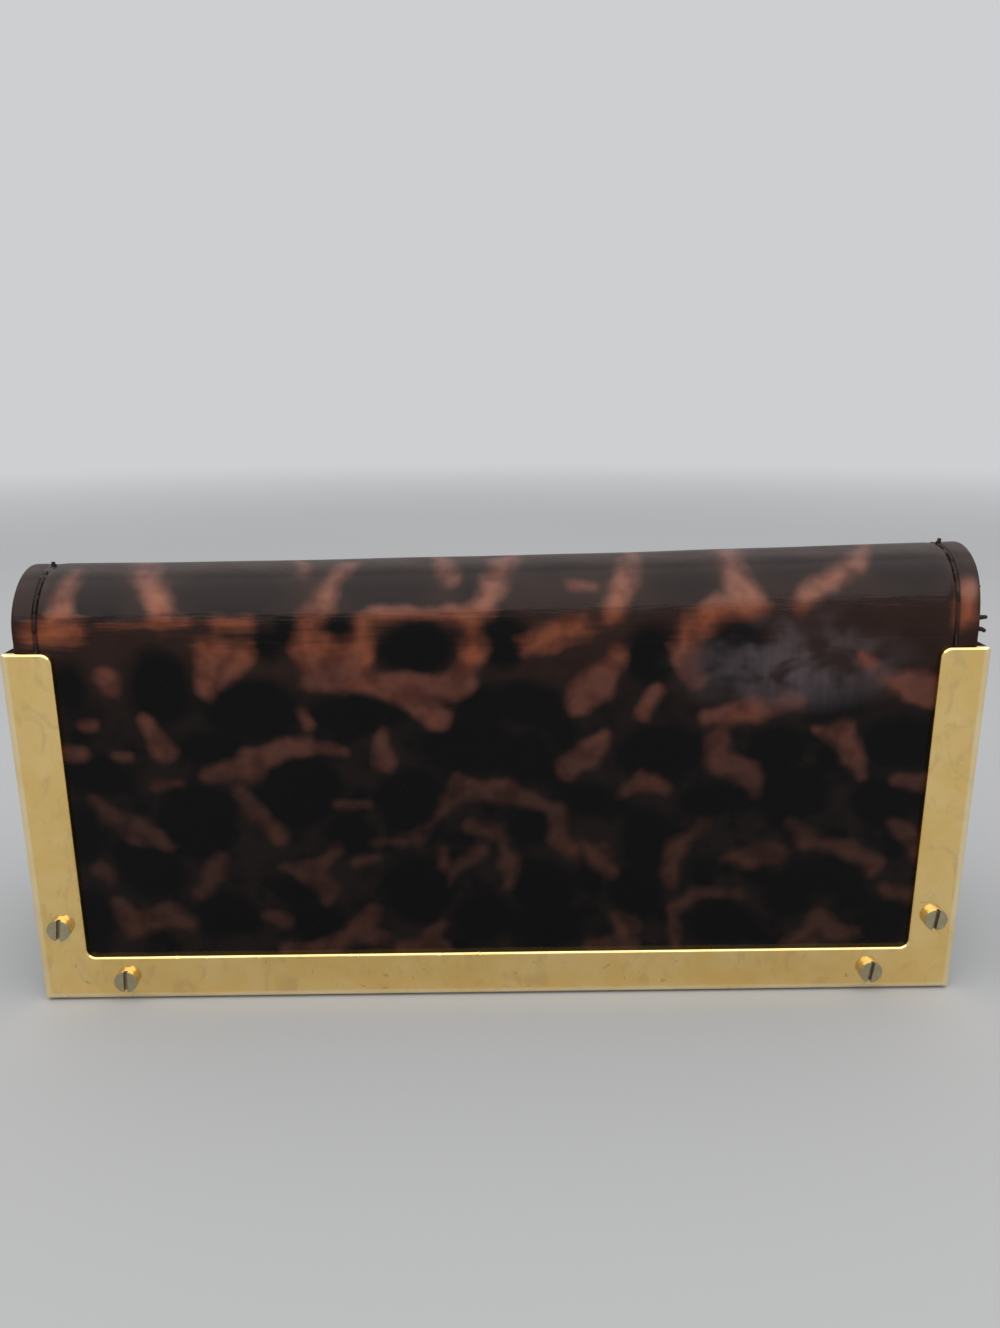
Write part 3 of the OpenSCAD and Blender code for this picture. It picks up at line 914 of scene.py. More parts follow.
class Tree(Nodes):
    """One Geometry Nodes tree with named inputs."""

    KINDS = {float: "NodeSocketFloat", int: "NodeSocketInt", type(None): "NodeSocketMaterial"}

    def __init__(self, name: str, inputs: dict[str, float | int | None]) -> None:
        """Starts a tree.

        Args:
            name: its name.
            inputs: its inputs' default values by name, with None for the material.
        """
        super().__init__(bpy.data.node_groups.new(name, "GeometryNodeTree"))
        face = self.tree.interface
        for way in ("OUTPUT", "INPUT"):
            face.new_socket("Geometry", in_out=way, socket_type="NodeSocketGeometry")
        for key, value in inputs.items():
            socket = face.new_socket(key, in_out="INPUT", socket_type=self.KINDS[type(value)])
            if value is not None:
                socket.default_value = value
        self.value = self.node("NodeGroupInput").outputs

    def maths(self, operation: str, *numbers: Any) -> Node:
        """A Math node."""
        return self.node("ShaderNodeMath", {"operation": operation}, dict(enumerate(numbers)))

    def vector(self, **parts: Any) -> Node:
        """A vector of X, Y and Z."""
        return self.node("ShaderNodeCombineXYZ", None, parts)

    def placed(self, shape: Node, y: Any, turn: float = 0.0) -> Node:
        """A shape turned about X and moved along Y."""
        sockets = {"Geometry": shape, "Rotation": (turn, 0, 0), "Translation": self.vector(Y=y)}
        return self.node("GeometryNodeTransform", None, sockets)

    def end(self, geometry: Node) -> None:
        """Ends the tree in Realize Instances and Set Material.

        Args:
            geometry: the node that gives its result.
        """
        real = self.node("GeometryNodeRealizeInstances", None, {0: geometry})
        shaded = self.node("GeometryNodeSetShadeSmooth", None, {0: real})
        dressed = self.node("GeometryNodeSetMaterial", None, {0: shaded, "Material": self.value["Material"]})
        self.node("NodeGroupOutput", None, {0: dressed})

    def run(self, name: str, source: Mesh, values: dict[str, Any]) -> Object:
        """Runs the tree on a mesh and keeps its result as a plain mesh.

        Args:
            name: the new piece's name.
            source: the mesh that goes in.
            values: the inputs that differ from their defaults.

        Returns:
            The new object, with no modifier.
        """
        host = put(name, source)
        modifier = host.modifiers.new("tree", "NODES")
        modifier.node_group = self.tree
        for item in self.tree.interface.items_tree:
            if item.in_out == "INPUT" and item.name in values:
                modifier[item.identifier] = values[item.name]
        return applied(host)


def put(name: str, data: Any) -> Object:
    """Adds an object to the scene, at the origin.

    Args:
        name: its name.
        data: its mesh, lamp, curve or camera.

    Returns:
        The object.
    """
    made = bpy.data.objects.new(name, data)
    bpy.context.scene.collection.objects.link(made)
    return made


def baked(host: Object) -> Mesh:
    """The mesh of an object with its modifiers applied."""
    bpy.context.view_layer.update()
    return bpy.data.meshes.new_from_object(host.evaluated_get(bpy.context.evaluated_depsgraph_get()))


def applied(made: Object) -> Object:
    """Applies a piece's modifiers and removes them.

    Args:
        made: the piece.

    Returns:
        The piece.
    """
    made.data = baked(made)
    made.modifiers.clear()
    return made


def line_mesh(name: str, points: np.ndarray) -> Mesh:
    """A chain of edges through points.

    Args:
        name: its name.
        points: the points in metres, one row each.

    Returns:
        The mesh.
    """
    mesh = bpy.data.meshes.new(name)
    mesh.from_pydata([tuple(p) for p in points], [(i, i + 1) for i in range(len(points) - 1)], [])
    return mesh


def closed(name: str, points: np.ndarray, faces: list[tuple[int, ...]]) -> Object:
    """A closed piece, with its doubles merged and its faces turned outwards.

    Args:
        name: the piece's name.
        points: its points in millimetres, one row each.
        faces: the points of each face, by number and in order.

    Returns:
        The piece.
    """
    mesh = bpy.data.meshes.new(name)
    mesh.from_pydata([tuple(p) for p in points * MM], [], faces)
    work = bmesh.new()
    work.from_mesh(mesh)
    bmesh.ops.remove_doubles(work, verts=work.verts, dist=1e-6)
    bmesh.ops.recalc_face_normals(work, faces=work.faces)
    work.to_mesh(mesh)
    work.free()
    mesh.shade_smooth()
    return put(name, mesh)


def loft(name: str, rings: Any) -> Object:
    """A closed piece through rings of as many points each, with flat ends.

    Args:
        name: the piece's name.
        rings: the points in millimetres, as [ring, point, axis].

    Returns:
        The piece.
    """
    points = np.array(rings)
    total, count, _ = points.shape
    last = (total - 1) * count
    faces = []
    for low in range(0, last, count):
        for i in range(count):
            j = (i + 1) % count
            faces.append((low + i, low + j, low + count + j, low + count + i))
    faces += [tuple(range(count)), tuple(reversed(range(last, last + count)))]
    return closed(name, points.reshape(-1, 3), faces)


def sheet_tree() -> Tree:
    """The tree that lays a sheet of even thickness along X over a drawn section.

    The section is a chain of vertices at x = 0 that carry "run" and "facing". The result is a
    closed shell that carries "sheet", its flat coordinates in millimetres, "facing", and
    "under", 1 on its inner side.

    Returns:
        The tree.
    """
    sizes = {"Half Width": 0.08, "Thickness": 0.0008, "Columns": 160}
    t = Tree("sheet_over_section", {**sizes, "Material": None})
    section, columns = t.value["Geometry"], t.value["Columns"]
    counted = t.node("GeometryNodeAttributeDomainSize", {"component": "MESH"}, {0: section})
    rows = counted.outputs["Point Count"]
    sides = {"Size X": 2.0, "Size Y": 1.0, "Vertices X": columns, "Vertices Y": rows}
    grid = t.node("GeometryNodeMeshGrid", None, sides)
    here = t.node("GeometryNodeInputPosition")
    spot = t.node("ShaderNodeSeparateXYZ", None, {0: here})
    x = t.maths("MULTIPLY", spot.outputs["X"], t.value["Half Width"])
    share = t.maths("ADD", spot.outputs["Y"], 0.5)
    row = t.maths("ROUND", t.maths("MULTIPLY", share, t.maths("SUBTRACT", rows, 1.0)))

    def named(data_type: str, name: str) -> Socket:
        """A named attribute."""
        made = t.node("GeometryNodeInputNamedAttribute", {"data_type": data_type}, {"Name": name})
        return made.outputs["Attribute"]

    def read(data_type: str, value: Any) -> Node:
        """A value of the section at this point's row.

        Args:
            data_type: the value's type.
            value: the value.

        Returns:
            The node that reads it.
        """
        settings = {"data_type": data_type, "domain": "POINT"}
        sockets = {"Geometry": section, "Value": value, "Index": row}
        return t.node("GeometryNodeSampleIndex", settings, sockets)

    def stored(geometry: Node, data_type: str, name: str, value: Any, **more: Any) -> Node:
        """A geometry that carries one more attribute at its points.

        Args:
            geometry: the geometry.
            data_type: the attribute's type.
            name: its name.
            value: its value.
            more: the node's other inputs.

        Returns:
            The node that stores it.
        """
        settings = {"data_type": data_type, "domain": "POINT"}
        sockets = {"Geometry": geometry, "Name": name, "Value": value, **more}
        return t.node("GeometryNodeStoreNamedAttribute", settings, sockets)

    place = read("FLOAT_VECTOR", here)
    run = read("FLOAT", named("FLOAT", "run"))
    facing = read("FLOAT_VECTOR", named("FLOAT_VECTOR", "facing"))
    flat = t.vector(X=t.maths("MULTIPLY", x, 1 / MM), Y=run)
    marked = stored(stored(grid, "FLOAT_VECTOR", "sheet", flat), "FLOAT_VECTOR", "facing", facing)
    laid = t.node("ShaderNodeVectorMath", {"operation": "ADD"}, {0: place, 1: t.vector(X=x)})
    outer = t.node("GeometryNodeSetPosition", None, {"Geometry": marked, "Position": laid})
    extrusion = {"Mesh": outer, "Offset Scale": 0.0, "Individual": False}
    walls = t.node("GeometryNodeExtrudeMesh", {"mode": "FACES"}, extrusion)
    depth = t.maths("MULTIPLY", t.value["Thickness"], -1.0)
    scaled = {0: named("FLOAT_VECTOR", "facing"), "Scale": depth}
    inward = t.node("ShaderNodeVectorMath", {"operation": "SCALE"}, scaled)
    top = walls.outputs["Top"]
    sunk = t.node("GeometryNodeSetPosition", None, {"Geometry": walls, "Selection": top, "Offset": inward})
    turned = t.node("GeometryNodeFlipFaces", None, {0: stored(sunk, "FLOAT", "under", 1.0, Selection=top)})
    joined = t.node("GeometryNodeJoinGeometry", None, {0: [outer, turned]})
    t.end(t.node("GeometryNodeMergeByDistance", None, {"Geometry": joined, "Distance": 1e-7}))
    return t


def stitch_tree() -> Tree:
    """The tree that sets stitches end to end along a drawn seam line.

    Returns:
        The tree.
    """
    sizes = {"Pitch": 0.0035, "Length": 0.0028, "Thickness": 0.0005}
    t = Tree("stitches", {**sizes, "Seed": 7, "Material": None})
    thick = t.value["Thickness"]
    curve = t.node("GeometryNodeMeshToCurve", None, {0: t.value["Geometry"]})
    spaced = t.node("GeometryNodeResampleCurve", {"mode": "LENGTH"}, {0: curve, "Length": t.value["Pitch"]})
    bead = t.node("GeometryNodeMeshUVSphere", None, {"Segments": 10, "Rings": 8, "Radius": 0.5})
    tangent = t.node("GeometryNodeInputTangent")
    along = t.node("FunctionNodeAlignRotationToVector", {"axis": "X"}, {"Vector": tangent})
    least, most = (0.88, 0.85, 0.85), (1.08, 1.12, 1.12)
    spread = {0: least, 1: most, "Seed": t.value["Seed"]}
    uneven = t.node("FunctionNodeRandomValue", {"data_type": "FLOAT_VECTOR"}, spread)
    shape = t.vector(X=t.value["Length"], Y=thick, Z=thick)
    scale = t.node("ShaderNodeVectorMath", {"operation": "MULTIPLY"}, {0: shape, 1: uneven})
    sockets = {"Points": spaced, "Instance": bead, "Rotation": along, "Scale": scale}
    t.end(t.node("GeometryNodeInstanceOnPoints", None, sockets))
    return t


def screw_tree() -> Tree:
    """The tree that sets slotted cheese-head screws at points on the frame's front face.

    Returns:
        The tree.
    """
    head = {"Head Diameter": 0.0041, "Head Height": 0.0012, "Slot Width": 0.0007, "Slot Depth": 0.0006}
    shank = {"Shank Diameter": 0.002, "Shank Length": 0.0039}
    t = Tree("slotted_screws", {**head, **shank, "Turn": 0.16, "Seed": 3, "Material": None})

    def rod(diameter: str, length: Any, middle: Any, sides: int) -> Node:
        """A rod along Y.

        Args:
            diameter: the input that gives its diameter.
            length: its length.
            middle: the y of its middle.
            sides: how many sides it has.

        Returns:
            The node that gives it.
        """
        radius = t.maths("MULTIPLY", t.value[diameter], 0.5)
        sockets = {"Vertices": sides, "Radius": radius, "Depth": length}
        return t.placed(t.node("GeometryNodeMeshCylinder", None, sockets), middle, math.pi / 2)

    high, long = t.value["Head Height"], t.value["Shank Length"]
    # the head starts a little inside the frame, so that no light passes under it
    middle = t.maths("ADD", t.maths("MULTIPLY", high, -0.5), 0.0001)
    whole = rod("Head Diameter", t.maths("ADD", high, 0.0002), middle, 64)
    wide = t.maths("MULTIPLY", t.value["Head Diameter"], 1.5)
    deep = t.maths("MULTIPLY", t.value["Slot Depth"], 2.0)
    slot = t.node("GeometryNodeMeshCube", None, {"Size": t.vector(X=t.value["Slot Width"], Y=deep, Z=wide)})
    placed = t.placed(slot, t.maths("MULTIPLY", high, -1.0))
    exact = {"operation": "DIFFERENCE", "solver": "EXACT"}
    cut = t.node("GeometryNodeMeshBoolean", exact, {"Mesh 1": whole, "Mesh 2": placed})
    pin = rod("Shank Diameter", long, t.maths("MULTIPLY", long, 0.5), 24)
    screw = t.node("GeometryNodeJoinGeometry", None, {0: [cut, pin]})
    low, up = t.maths("MULTIPLY", t.value["Turn"], -1.0), t.value["Turn"]
    turn = t.node("FunctionNodeRandomValue", {"data_type": "FLOAT"}, {2: low, 3: up, "Seed": t.value["Seed"]})
    sockets = {"Points": t.value["Geometry"], "Instance": screw, "Rotation": t.vector(Y=turn.outputs[1])}
    t.end(t.node("GeometryNodeInstanceOnPoints", None, sockets))
    return t


def even(made: Object, angle: float = 32.0, width: float = 0.0, steps: int = 3) -> Object:
    """Shades a piece smooth with its big faces flat, and rounds its edges where a width is given.

    Args:
        made: the piece.
        angle: edges sharper than this, in degrees, are rounded or stay sharp.
        width: the rounding's width, in millimetres.
        steps: its steps.

    Returns:
        The piece.
    """
    made.data.shade_smooth()
    if width:
        bevel = made.modifiers.new("round", "BEVEL")
        bevel.width, bevel.segments, bevel.angle_limit = width * MM, steps, math.radians(angle)
        bevel.limit_method, bevel.use_clamp_overlap = "ANGLE", True
    else:
        made.data.set_sharp_from_angle(angle=math.radians(angle))
    weighted = made.modifiers.new("even", "WEIGHTED_NORMAL")
    weighted.weight, weighted.keep_sharp = 90, not width
    return applied(made)


def cad_copy(node: str, name: str) -> Object:
    """A merged copy of a CAD node's mesh, with its flat faces whole.

    Args:
        node: the CAD node.
        name: the copy's name.

    Returns:
        The copy.
    """
    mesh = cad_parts[node].data.copy()
    work = bmesh.new()
    work.from_mesh(mesh)
    bmesh.ops.remove_doubles(work, verts=work.verts, dist=1e-6)
    bmesh.ops.dissolve_limit(work, angle_limit=math.radians(0.5), verts=work.verts, edges=work.edges)
    work.to_mesh(mesh)
    work.free()
    if "custom_normal" in mesh.attributes:
        mesh.attributes.remove(mesh.attributes["custom_normal"])
    mesh.materials.clear()
    return put(name, mesh)


def vertices(mesh: Mesh) -> np.ndarray:
    """A mesh's points.

    Args:
        mesh: the mesh.

    Returns:
        The points in millimetres, one row each.
    """
    flat = np.zeros(len(mesh.vertices) * 3, np.float32)
    mesh.vertices.foreach_get("co", flat)
    return flat.reshape(-1, 3).astype(float) / MM


def move(mesh: Mesh, points: np.ndarray) -> None:
    """Puts a mesh's points where an array in millimetres says."""
    mesh.vertices.foreach_set("co", (points * MM).astype(np.float32).ravel())
    mesh.update()


def read(mesh: Mesh, name: str, width: int = 3) -> np.ndarray:
    """What a mesh carries at each vertex.

    Args:
        mesh: the mesh.
        name: the attribute.
        width: 3 for a vector, 1 for a number.

    Returns:
        The values, one row each.
    """
    flat = np.zeros(len(mesh.vertices) * width, np.float32)
    mesh.attributes[name].data.foreach_get("value" if width == 1 else "vector", flat)
    return (flat.reshape(-1, width) if width > 1 else flat).astype(float)


def carry(mesh: Mesh, name: str, values: np.ndarray) -> None:
    """Gives a mesh a number or a vector at each vertex.

    Args:
        mesh: the mesh.
        name: the attribute.
        values: the numbers, or one row of three for each vector.
    """
    kind, key = ("FLOAT", "value") if values.ndim == 1 else ("FLOAT_VECTOR", "vector")
    found = mesh.attributes.get(name) or mesh.attributes.new(name, kind, "POINT")
    found.data.foreach_set(key, values.astype(np.float32).ravel())


def settle(made: Object, finishes: Finishes, slot: Slot, body: Body | None, *nodes: str) -> Object:
    """Args:
        made: the piece.
        finishes: the case's materials.
        slot: its material slot in the record.
        body: the body that it rides on, or None, which leaves it unattached with its place baked in.
        nodes: the CAD nodes that it replaces.

    Returns:
        The piece.
    """
    made.data.materials.clear()
    made.data.materials.append(finishes[slot])
    if slot in (Slot.SUEDE, Slot.THREAD):
        carry(made.data, "rest", vertices(made.data) * MM)
    if nodes:
        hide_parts(*nodes)
    if body:
        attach(made, body.value)
    else:
        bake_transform(made)
    return made


# Sub-assemblies


@dataclass
class LeatherWrap:
    """All the leather of the body and the lid's face, printed with the tortoiseshell."""

    finishes: Finishes
    columns: int = 231
    thickness: float = 0.8
    split_run: float = 99.0
    edge_round: float = 0.34
    spot_rim: float = 0.9
    seam_dent: float = 0.22
    seam_reach: float = 0.9
    # depth, waves along x and along the run, and the phase
    waves: tuple[tuple[float, ...], ...] = ((0.05, 0.11, 0.13, 1.1), (0.04, 0.23, -0.19, 0.0))
    # the CAD node, the level axis in the leather, and the shift in the pattern
    flat_pieces: tuple[tuple[str, int, float], ...] = (
        ("lip_cover", 0, 31.0),
        ("end_cover_left", 1, 143.0),
        ("end_cover_right", 1, 211.0),
    )
    pattern: TortoisePrint = field(default_factory=TortoisePrint)

    def section_mesh(self, runs: np.ndarray) -> Mesh:
        """The section's line, with what the sheet tree reads.

        Args:
            runs: where its points lie.

        Returns:
            The mesh.
        """
        point, normal = SECTION.place(runs)
        mesh = line_mesh("section", np.stack([0 * runs, point[:, 0] + FRONT_Y, point[:, 1]], -1) * MM)
        carry(mesh, "run", runs)
        carry(mesh, "facing", np.stack([0 * runs, normal[:, 0], normal[:, 1]], -1))
        return mesh

    def wear(self, mesh: Mesh) -> None:
        """Sinks the leather at the seams and in soft waves, and lifts the worn roof.

        Args:
            mesh: the sheet.
        """
        points = vertices(mesh)
        x, run, _ = read(mesh, "sheet").T
        free = smooth(64.5, 69.0, run) * smooth(150.0, 125.0, run)
        seam = self.seam_dent * np.exp(-(((np.abs(x) - SEAM_X) / self.seam_reach) ** 2)) * free
        waves = sum(deep * (1 + np.sin(a * x + b * run + turn)) for deep, a, b, turn in self.waves)
        window = smooth(73.0, 66.0, np.abs(x)) * smooth(8.0, 16.0, run)
        # under the gold frame the lid's leather is flat
        sink = seam + waves * np.where(run < 66, window, 1.0) * 0.6
        points -= read(mesh, "facing") * sink[:, None]
        points[:, 2] += worn_lift(x, points[:, 2])
        move(mesh, points)

    def round_ends(self, made: Object) -> None:
        """Rounds the sheet's two ends.

        Args:
            made: the sheet.
        """
        mesh = made.data
        x, run, _ = read(mesh, "sheet").T
        pairs = np.zeros(len(mesh.edges) * 2, np.int32)
        mesh.edges.foreach_get("vertices", pairs)
        first, second = pairs.reshape(-1, 2).T
        under = read(mesh, "under", 1)
        at_end = np.abs(np.abs(x) - HALF_W) < 1e-3
        along = at_end[first] & at_end[second] & (np.abs(run[first] - run[second]) > 1e-4)
        same = np.abs(under[first] - under[second]) < 0.5
        weights = mesh.attributes.new("bevel_weight_edge", "FLOAT", "EDGE")
        weights.data.foreach_set("value", (along & same).astype(np.float32))
        bevel = made.modifiers.new("round", "BEVEL")
        bevel.width, bevel.segments, bevel.limit_method = self.edge_round * MM, 3, "WEIGHT"
        applied(made)

    def lay(self, name: str, runs: np.ndarray, tree: Tree, body: Body | None, node: str) -> Object:
        """Lays one sheet of the wrap.

        Args:
            name: the piece's name.
            runs: its rows.
            tree: the sheet tree.
            body: the body that it rides on, or None.
            node: the CAD node that it replaces.

        Returns:
            The piece.
        """
        sizes = {"Half Width": HALF_W * MM, "Thickness": self.thickness * MM, "Columns": self.columns}
        made = tree.run(name, self.section_mesh(runs), {**sizes, "Material": self.finishes[Slot.TORTOISE]})
        self.wear(made.data)
        self.round_ends(made)
        x, run, _ = read(made.data, "sheet").T
        outside = self.pattern.outside_spots(x, run)
        carry(made.data, "print_mm", np.minimum(self.pattern.inside_marks(x, run), outside + self.spot_rim))
        carry(made.data, "spot_mm", outside)
        carry(made.data, "drawn", smooth(93.0, 87.0, run))
        made.data.set_sharp_from_angle(angle=math.radians(50))
        return settle(made, self.finishes, Slot.TORTOISE, body, node)

    def flat_piece(self, node: str, axis: int, shift: float) -> Object:
        """A plain leather piece on the shape of its CAD node, with rounded edges.

        Args:
            node: the CAD node.
            axis: the level axis that lies in the leather.
            shift: moves its place in the pattern, in millimetres.

        Returns:
            The piece.
        """
        made = cad_copy(node, node + "_leather")
        points = vertices(made.data)
        points[:, 2] += worn_lift(points[:, 0], points[:, 2])
        move(made.data, points)
        even(made, width=0.3)
        points = vertices(made.data)
        sheet = np.stack([points[:, axis] + shift, points[:, 2] - shift, 0 * points[:, 0]], -1)
        carry(made.data, "sheet", sheet)
        return settle(made, self.finishes, Slot.TORTOISE, Body.CASE, node)

    def build(self) -> list[Object]:
        """Builds every leather piece.

        Returns:
            The pieces.
        """
        tree = sheet_tree()
        _, slope, shoulder, back, heel, end = SECTION.runs
        # each stretch goes from a run to a run, the front's by steps and the back's by a count
        steps = ((2.4, 62, 0.8), (62, 64.6, 0.5), (64.6, 68.0, 0.25), (68.0, slope, 0.6))
        front_rows = [*(np.arange(*step) for step in steps), np.linspace(slope, self.split_run, 9)]
        parts = ((self.split_run, shoulder, 6), (shoulder, back, 35), (back, heel, 11))
        back_rows = [*(np.linspace(*part, endpoint=False) for part in parts), np.linspace(heel, end, 20)]
        return [
            self.lay("front_leather", np.unique(np.concatenate(front_rows)), tree, None, "lid_cover"),
            self.lay("back_leather", np.concatenate(back_rows), tree, Body.CASE, "back_cover"),
            *(self.flat_piece(*piece) for piece in self.flat_pieces),
        ]


@dataclass
class Seams:
    """The stitching near the wrap's two ends, and the loose ends of thread in it."""

    finishes: Finishes
    start_run: float = 65.7
    split_run: float = 98.6
    stop_share: float = 0.36
    sunk: float = 0.12
    sway: float = 0.12
    dent: float = 0.2
    pitch: float = 3.5
    seed: int = 5
    tail_r: float = 0.44
    # x, depth, height, length and rise
    tails: tuple[tuple[float, ...], ...] = (
        (80.35, 2.2, 69.1, 1.45, 0.05),
        (80.35, 1.9, 67.6, 1.3, -0.3),
        (80.35, 5.0, 72.2, 1.0, 0.7),
        (76.9, 12.5, 78.3, 0.9, 0.9),
        (-76.3, 11.5, 78.3, 0.8, 0.9),
    )

    def path(self, side: Side, low: float, high: float) -> Mesh:
        """The line of a seam between two runs.

        Args:
            side: the end of the case.
            low: the first run.
            high: the last run.

        Returns:
            The line.
        """
        runs = np.linspace(low, high, 160)
        point, normal = SECTION.place(runs)
        point = point - self.sunk * normal
        x = side.value * SEAM_X + self.sway * np.sin(runs * 0.9)
        dent = self.dent * smooth(64.5, 69.0, runs)
        y = point[:, 0] - dent * normal[:, 0] + FRONT_Y
        z = point[:, 1] + worn_lift(x, point[:, 1]) - dent * normal[:, 1]
        return line_mesh("seam", np.stack([x, y, z], -1) * MM)

    def loose_ends(self) -> Object:
        """The short cut ends of thread that stick out of the seams.

        Returns:
            The piece.
        """
        curve = bpy.data.curves.new("loose_thread", "CURVE")
        curve.dimensions, curve.bevel_resolution, curve.use_fill_caps = "3D", 3, True
        curve.bevel_depth = self.tail_r * MM
        for x, depth, z, length, rise in self.tails:
            spline = curve.splines.new("POLY")
            spline.points.add(4)
            out = math.copysign(length, x) * (0.3 if z > 76 else 1.0)
            z += float(worn_lift(np.array([x]), np.array([z]))[0])
            for t, spot in zip(np.linspace(0, 1, 5), spline.points):
                bow = math.sin(t * 2.6) * 0.25
                place = Vector((x + out * t, depth + FRONT_Y - bow, z + rise * length * t * t + bow * 0.4))
                spot.co = (*(place * MM), 1)
                spot.radius = 1.0 - 0.25 * t
        host = put("loose_thread", curve)
        mesh = baked(host)
        bpy.data.objects.remove(host)
        mesh.shade_smooth()
        return settle(put("loose_thread_ends", mesh), self.finishes, Slot.THREAD, Body.CASE)

    def build(self) -> list[Object]:
        """Sews both seams and adds the loose ends.

        Returns:
            The pieces.
        """
        tree = stitch_tree()
        thread = self.finishes[Slot.THREAD]
        heel, end = SECTION.runs[4:]
        stop = heel + self.stop_share * (end - heel)
        made = []
        for side in Side:
            inputs = {"Pitch": self.pitch * MM, "Seed": self.seed + side.value, "Material": thread}
            front = self.path(side, self.start_run, self.split_run)
            front = tree.run(f"stitches_front_{side.word}", front, inputs)
            rear = self.path(side, self.split_run + self.pitch, stop)
            rear = tree.run(f"stitches_back_{side.word}", rear, inputs)
            made.append(settle(front, self.finishes, Slot.THREAD, None))
            made.append(settle(rear, self.finishes, Slot.THREAD, Body.CASE, f"seam_thread_{side.word}"))
        return [*made, self.loose_ends()]


@dataclass
class CornerFrame:
    """The gold frame on the lid with its four screws."""

    finishes: Finishes
    half_w: float = 82.5
    low: float = 0.4
    high: float = 64.9
    side_bar: float = 8.4
    bottom_bar: float = 8.3
    tab_r: float = 1.8
    window_r: float = 1.5
    foot_r: float = 0.5
    thickness: float = 1.1
    outer_round: float = 1.2
    inner_round: float = 0.5
    screw_round: float = 0.17
    screws: tuple[Point, ...] = ((78.1, 14.8), (67.3, 4.4))

    def outline(self) -> np.ndarray:
        """The frame's outline seen from the front, and how far its front edge is set in there.

        Returns:
            The x and height of each point, and the x and height of its setback.
        """
        inner_x = self.half_w - self.side_bar
        wide, fine, foot = self.outer_round, self.inner_round, self.half_w - self.foot_r
        window = (inner_x - self.window_r, self.low + self.bottom_bar + self.window_r)
        tab = (inner_x + self.tab_r, self.high - self.tab_r)
        corners = (
            (window, self.window_r, -90, 90, fine / self.window_r),
            (tab, self.tab_r, 180, -90, -fine / self.tab_r),
            ((foot, self.high - self.foot_r), self.foot_r, 90, -90, fine),
            ((foot, self.low + self.foot_r), self.foot_r, 0, -90, -wide),
        )
        half = []
        for place, (centre, radius, start, turn, pull) in enumerate(corners):
            for angle in np.radians(start + turn * np.arange(9) / 8):
                x, z = centre[0] + radius * math.cos(angle), centre[1] + radius * math.sin(angle)
                # inner corners are set in from their own centres, outer ones from the straight edges
                if place < 2:
                    half.append((x, z, (x - centre[0]) * pull, (z - centre[1]) * pull))
                else:
                    edge = self.high if pull > 0 else self.low
                    half.append((x, z, self.half_w - wide - x, edge - pull - z))
        return np.array(half + [(-x, z, -in_x, in_z) for x, z, in_x, in_z in reversed(half)])

    def plate(self) -> Object:
        """The plate, with wide rounds along its outer edges and fine ones elsewhere.

        Returns:
            The piece.
        """
        outline = self.outline()
        turns = np.linspace(0, math.pi / 2, 8)
        rounds = zip(1 - np.cos(turns), self.inner_round * (1 - np.sin(turns)))
        levels = [(0.0, self.thickness), *rounds]
        rings = []
        for share, depth in levels:
            flat = outline[:, :2] + share * outline[:, 2:]
            rings.append([(x, FRONT_Y + depth, z) for x, z in flat])
        return even(loft("corner_frame_gold", rings), angle=38)

    def build(self) -> list[Object]:
        """Builds the plate and the screws.

        Returns:
            The pieces.
        """
        plate = settle(self.plate(), self.finishes, Slot.GOLD, Body.LID, "corner_frame")
        spots = [(side.value * x, FRONT_Y, z) for side in Side for x, z in self.screws]
        where = line_mesh("spots", np.array(spots) * MM)
        screws = screw_tree().run("slotted_screws", where, {"Material": self.finishes.rubbed})
        even(screws, angle=40, width=self.screw_round, steps=4)
        settle(screws, self.finishes, Slot.GOLD, Body.LID, "frame_screws")
        screws.data.materials[0] = self.finishes.rubbed
        return [plate, screws]


def swell(made: Object, held: np.ndarray, cap: float, pressure: float = 3.0, last: int = 20) -> None:
    """Swells a pad with Blender's Cloth and applies it.

    Args:
        made: the pad, a closed mesh in metres.
        held: how firmly each point is held, from 0 to 1.
        cap: how far a point may move, in millimetres.
        pressure: the pressure inside the pad.
        last: the frame that is kept, after each one before it.
    """
    rest = vertices(made.data)
    group = made.vertex_groups.new(name="held")
    for index, weight in enumerate(held):
        if weight > 0:
            group.add([index], float(weight), "REPLACE")
    cloth = made.modifiers.new("swell", "CLOTH")
    settings = cloth.settings
    settings.quality, settings.mass, settings.bending_stiffness = 8, 0.05, 0.05
    settings.tension_stiffness, settings.compression_stiffness = 20, 10
    settings.use_pressure, settings.uniform_pressure_force = True, pressure
    settings.vertex_group_mass = group.name
    settings.effector_weights.gravity = 0
    cloth.collision_settings.use_collision = False
    for step in range(1, last + 1):
        bpy.context.scene.frame_set(step)
    gap = vertices(baked(made)) - rest
    made.modifiers.clear()
    bpy.context.scene.frame_set(1)
    length = np.linalg.norm(gap, axis=1, keepdims=True)
    move(made.data, rest + gap * np.minimum(1.0, cap / np.maximum(length, 1e-9)))
    made.vertex_groups.clear()


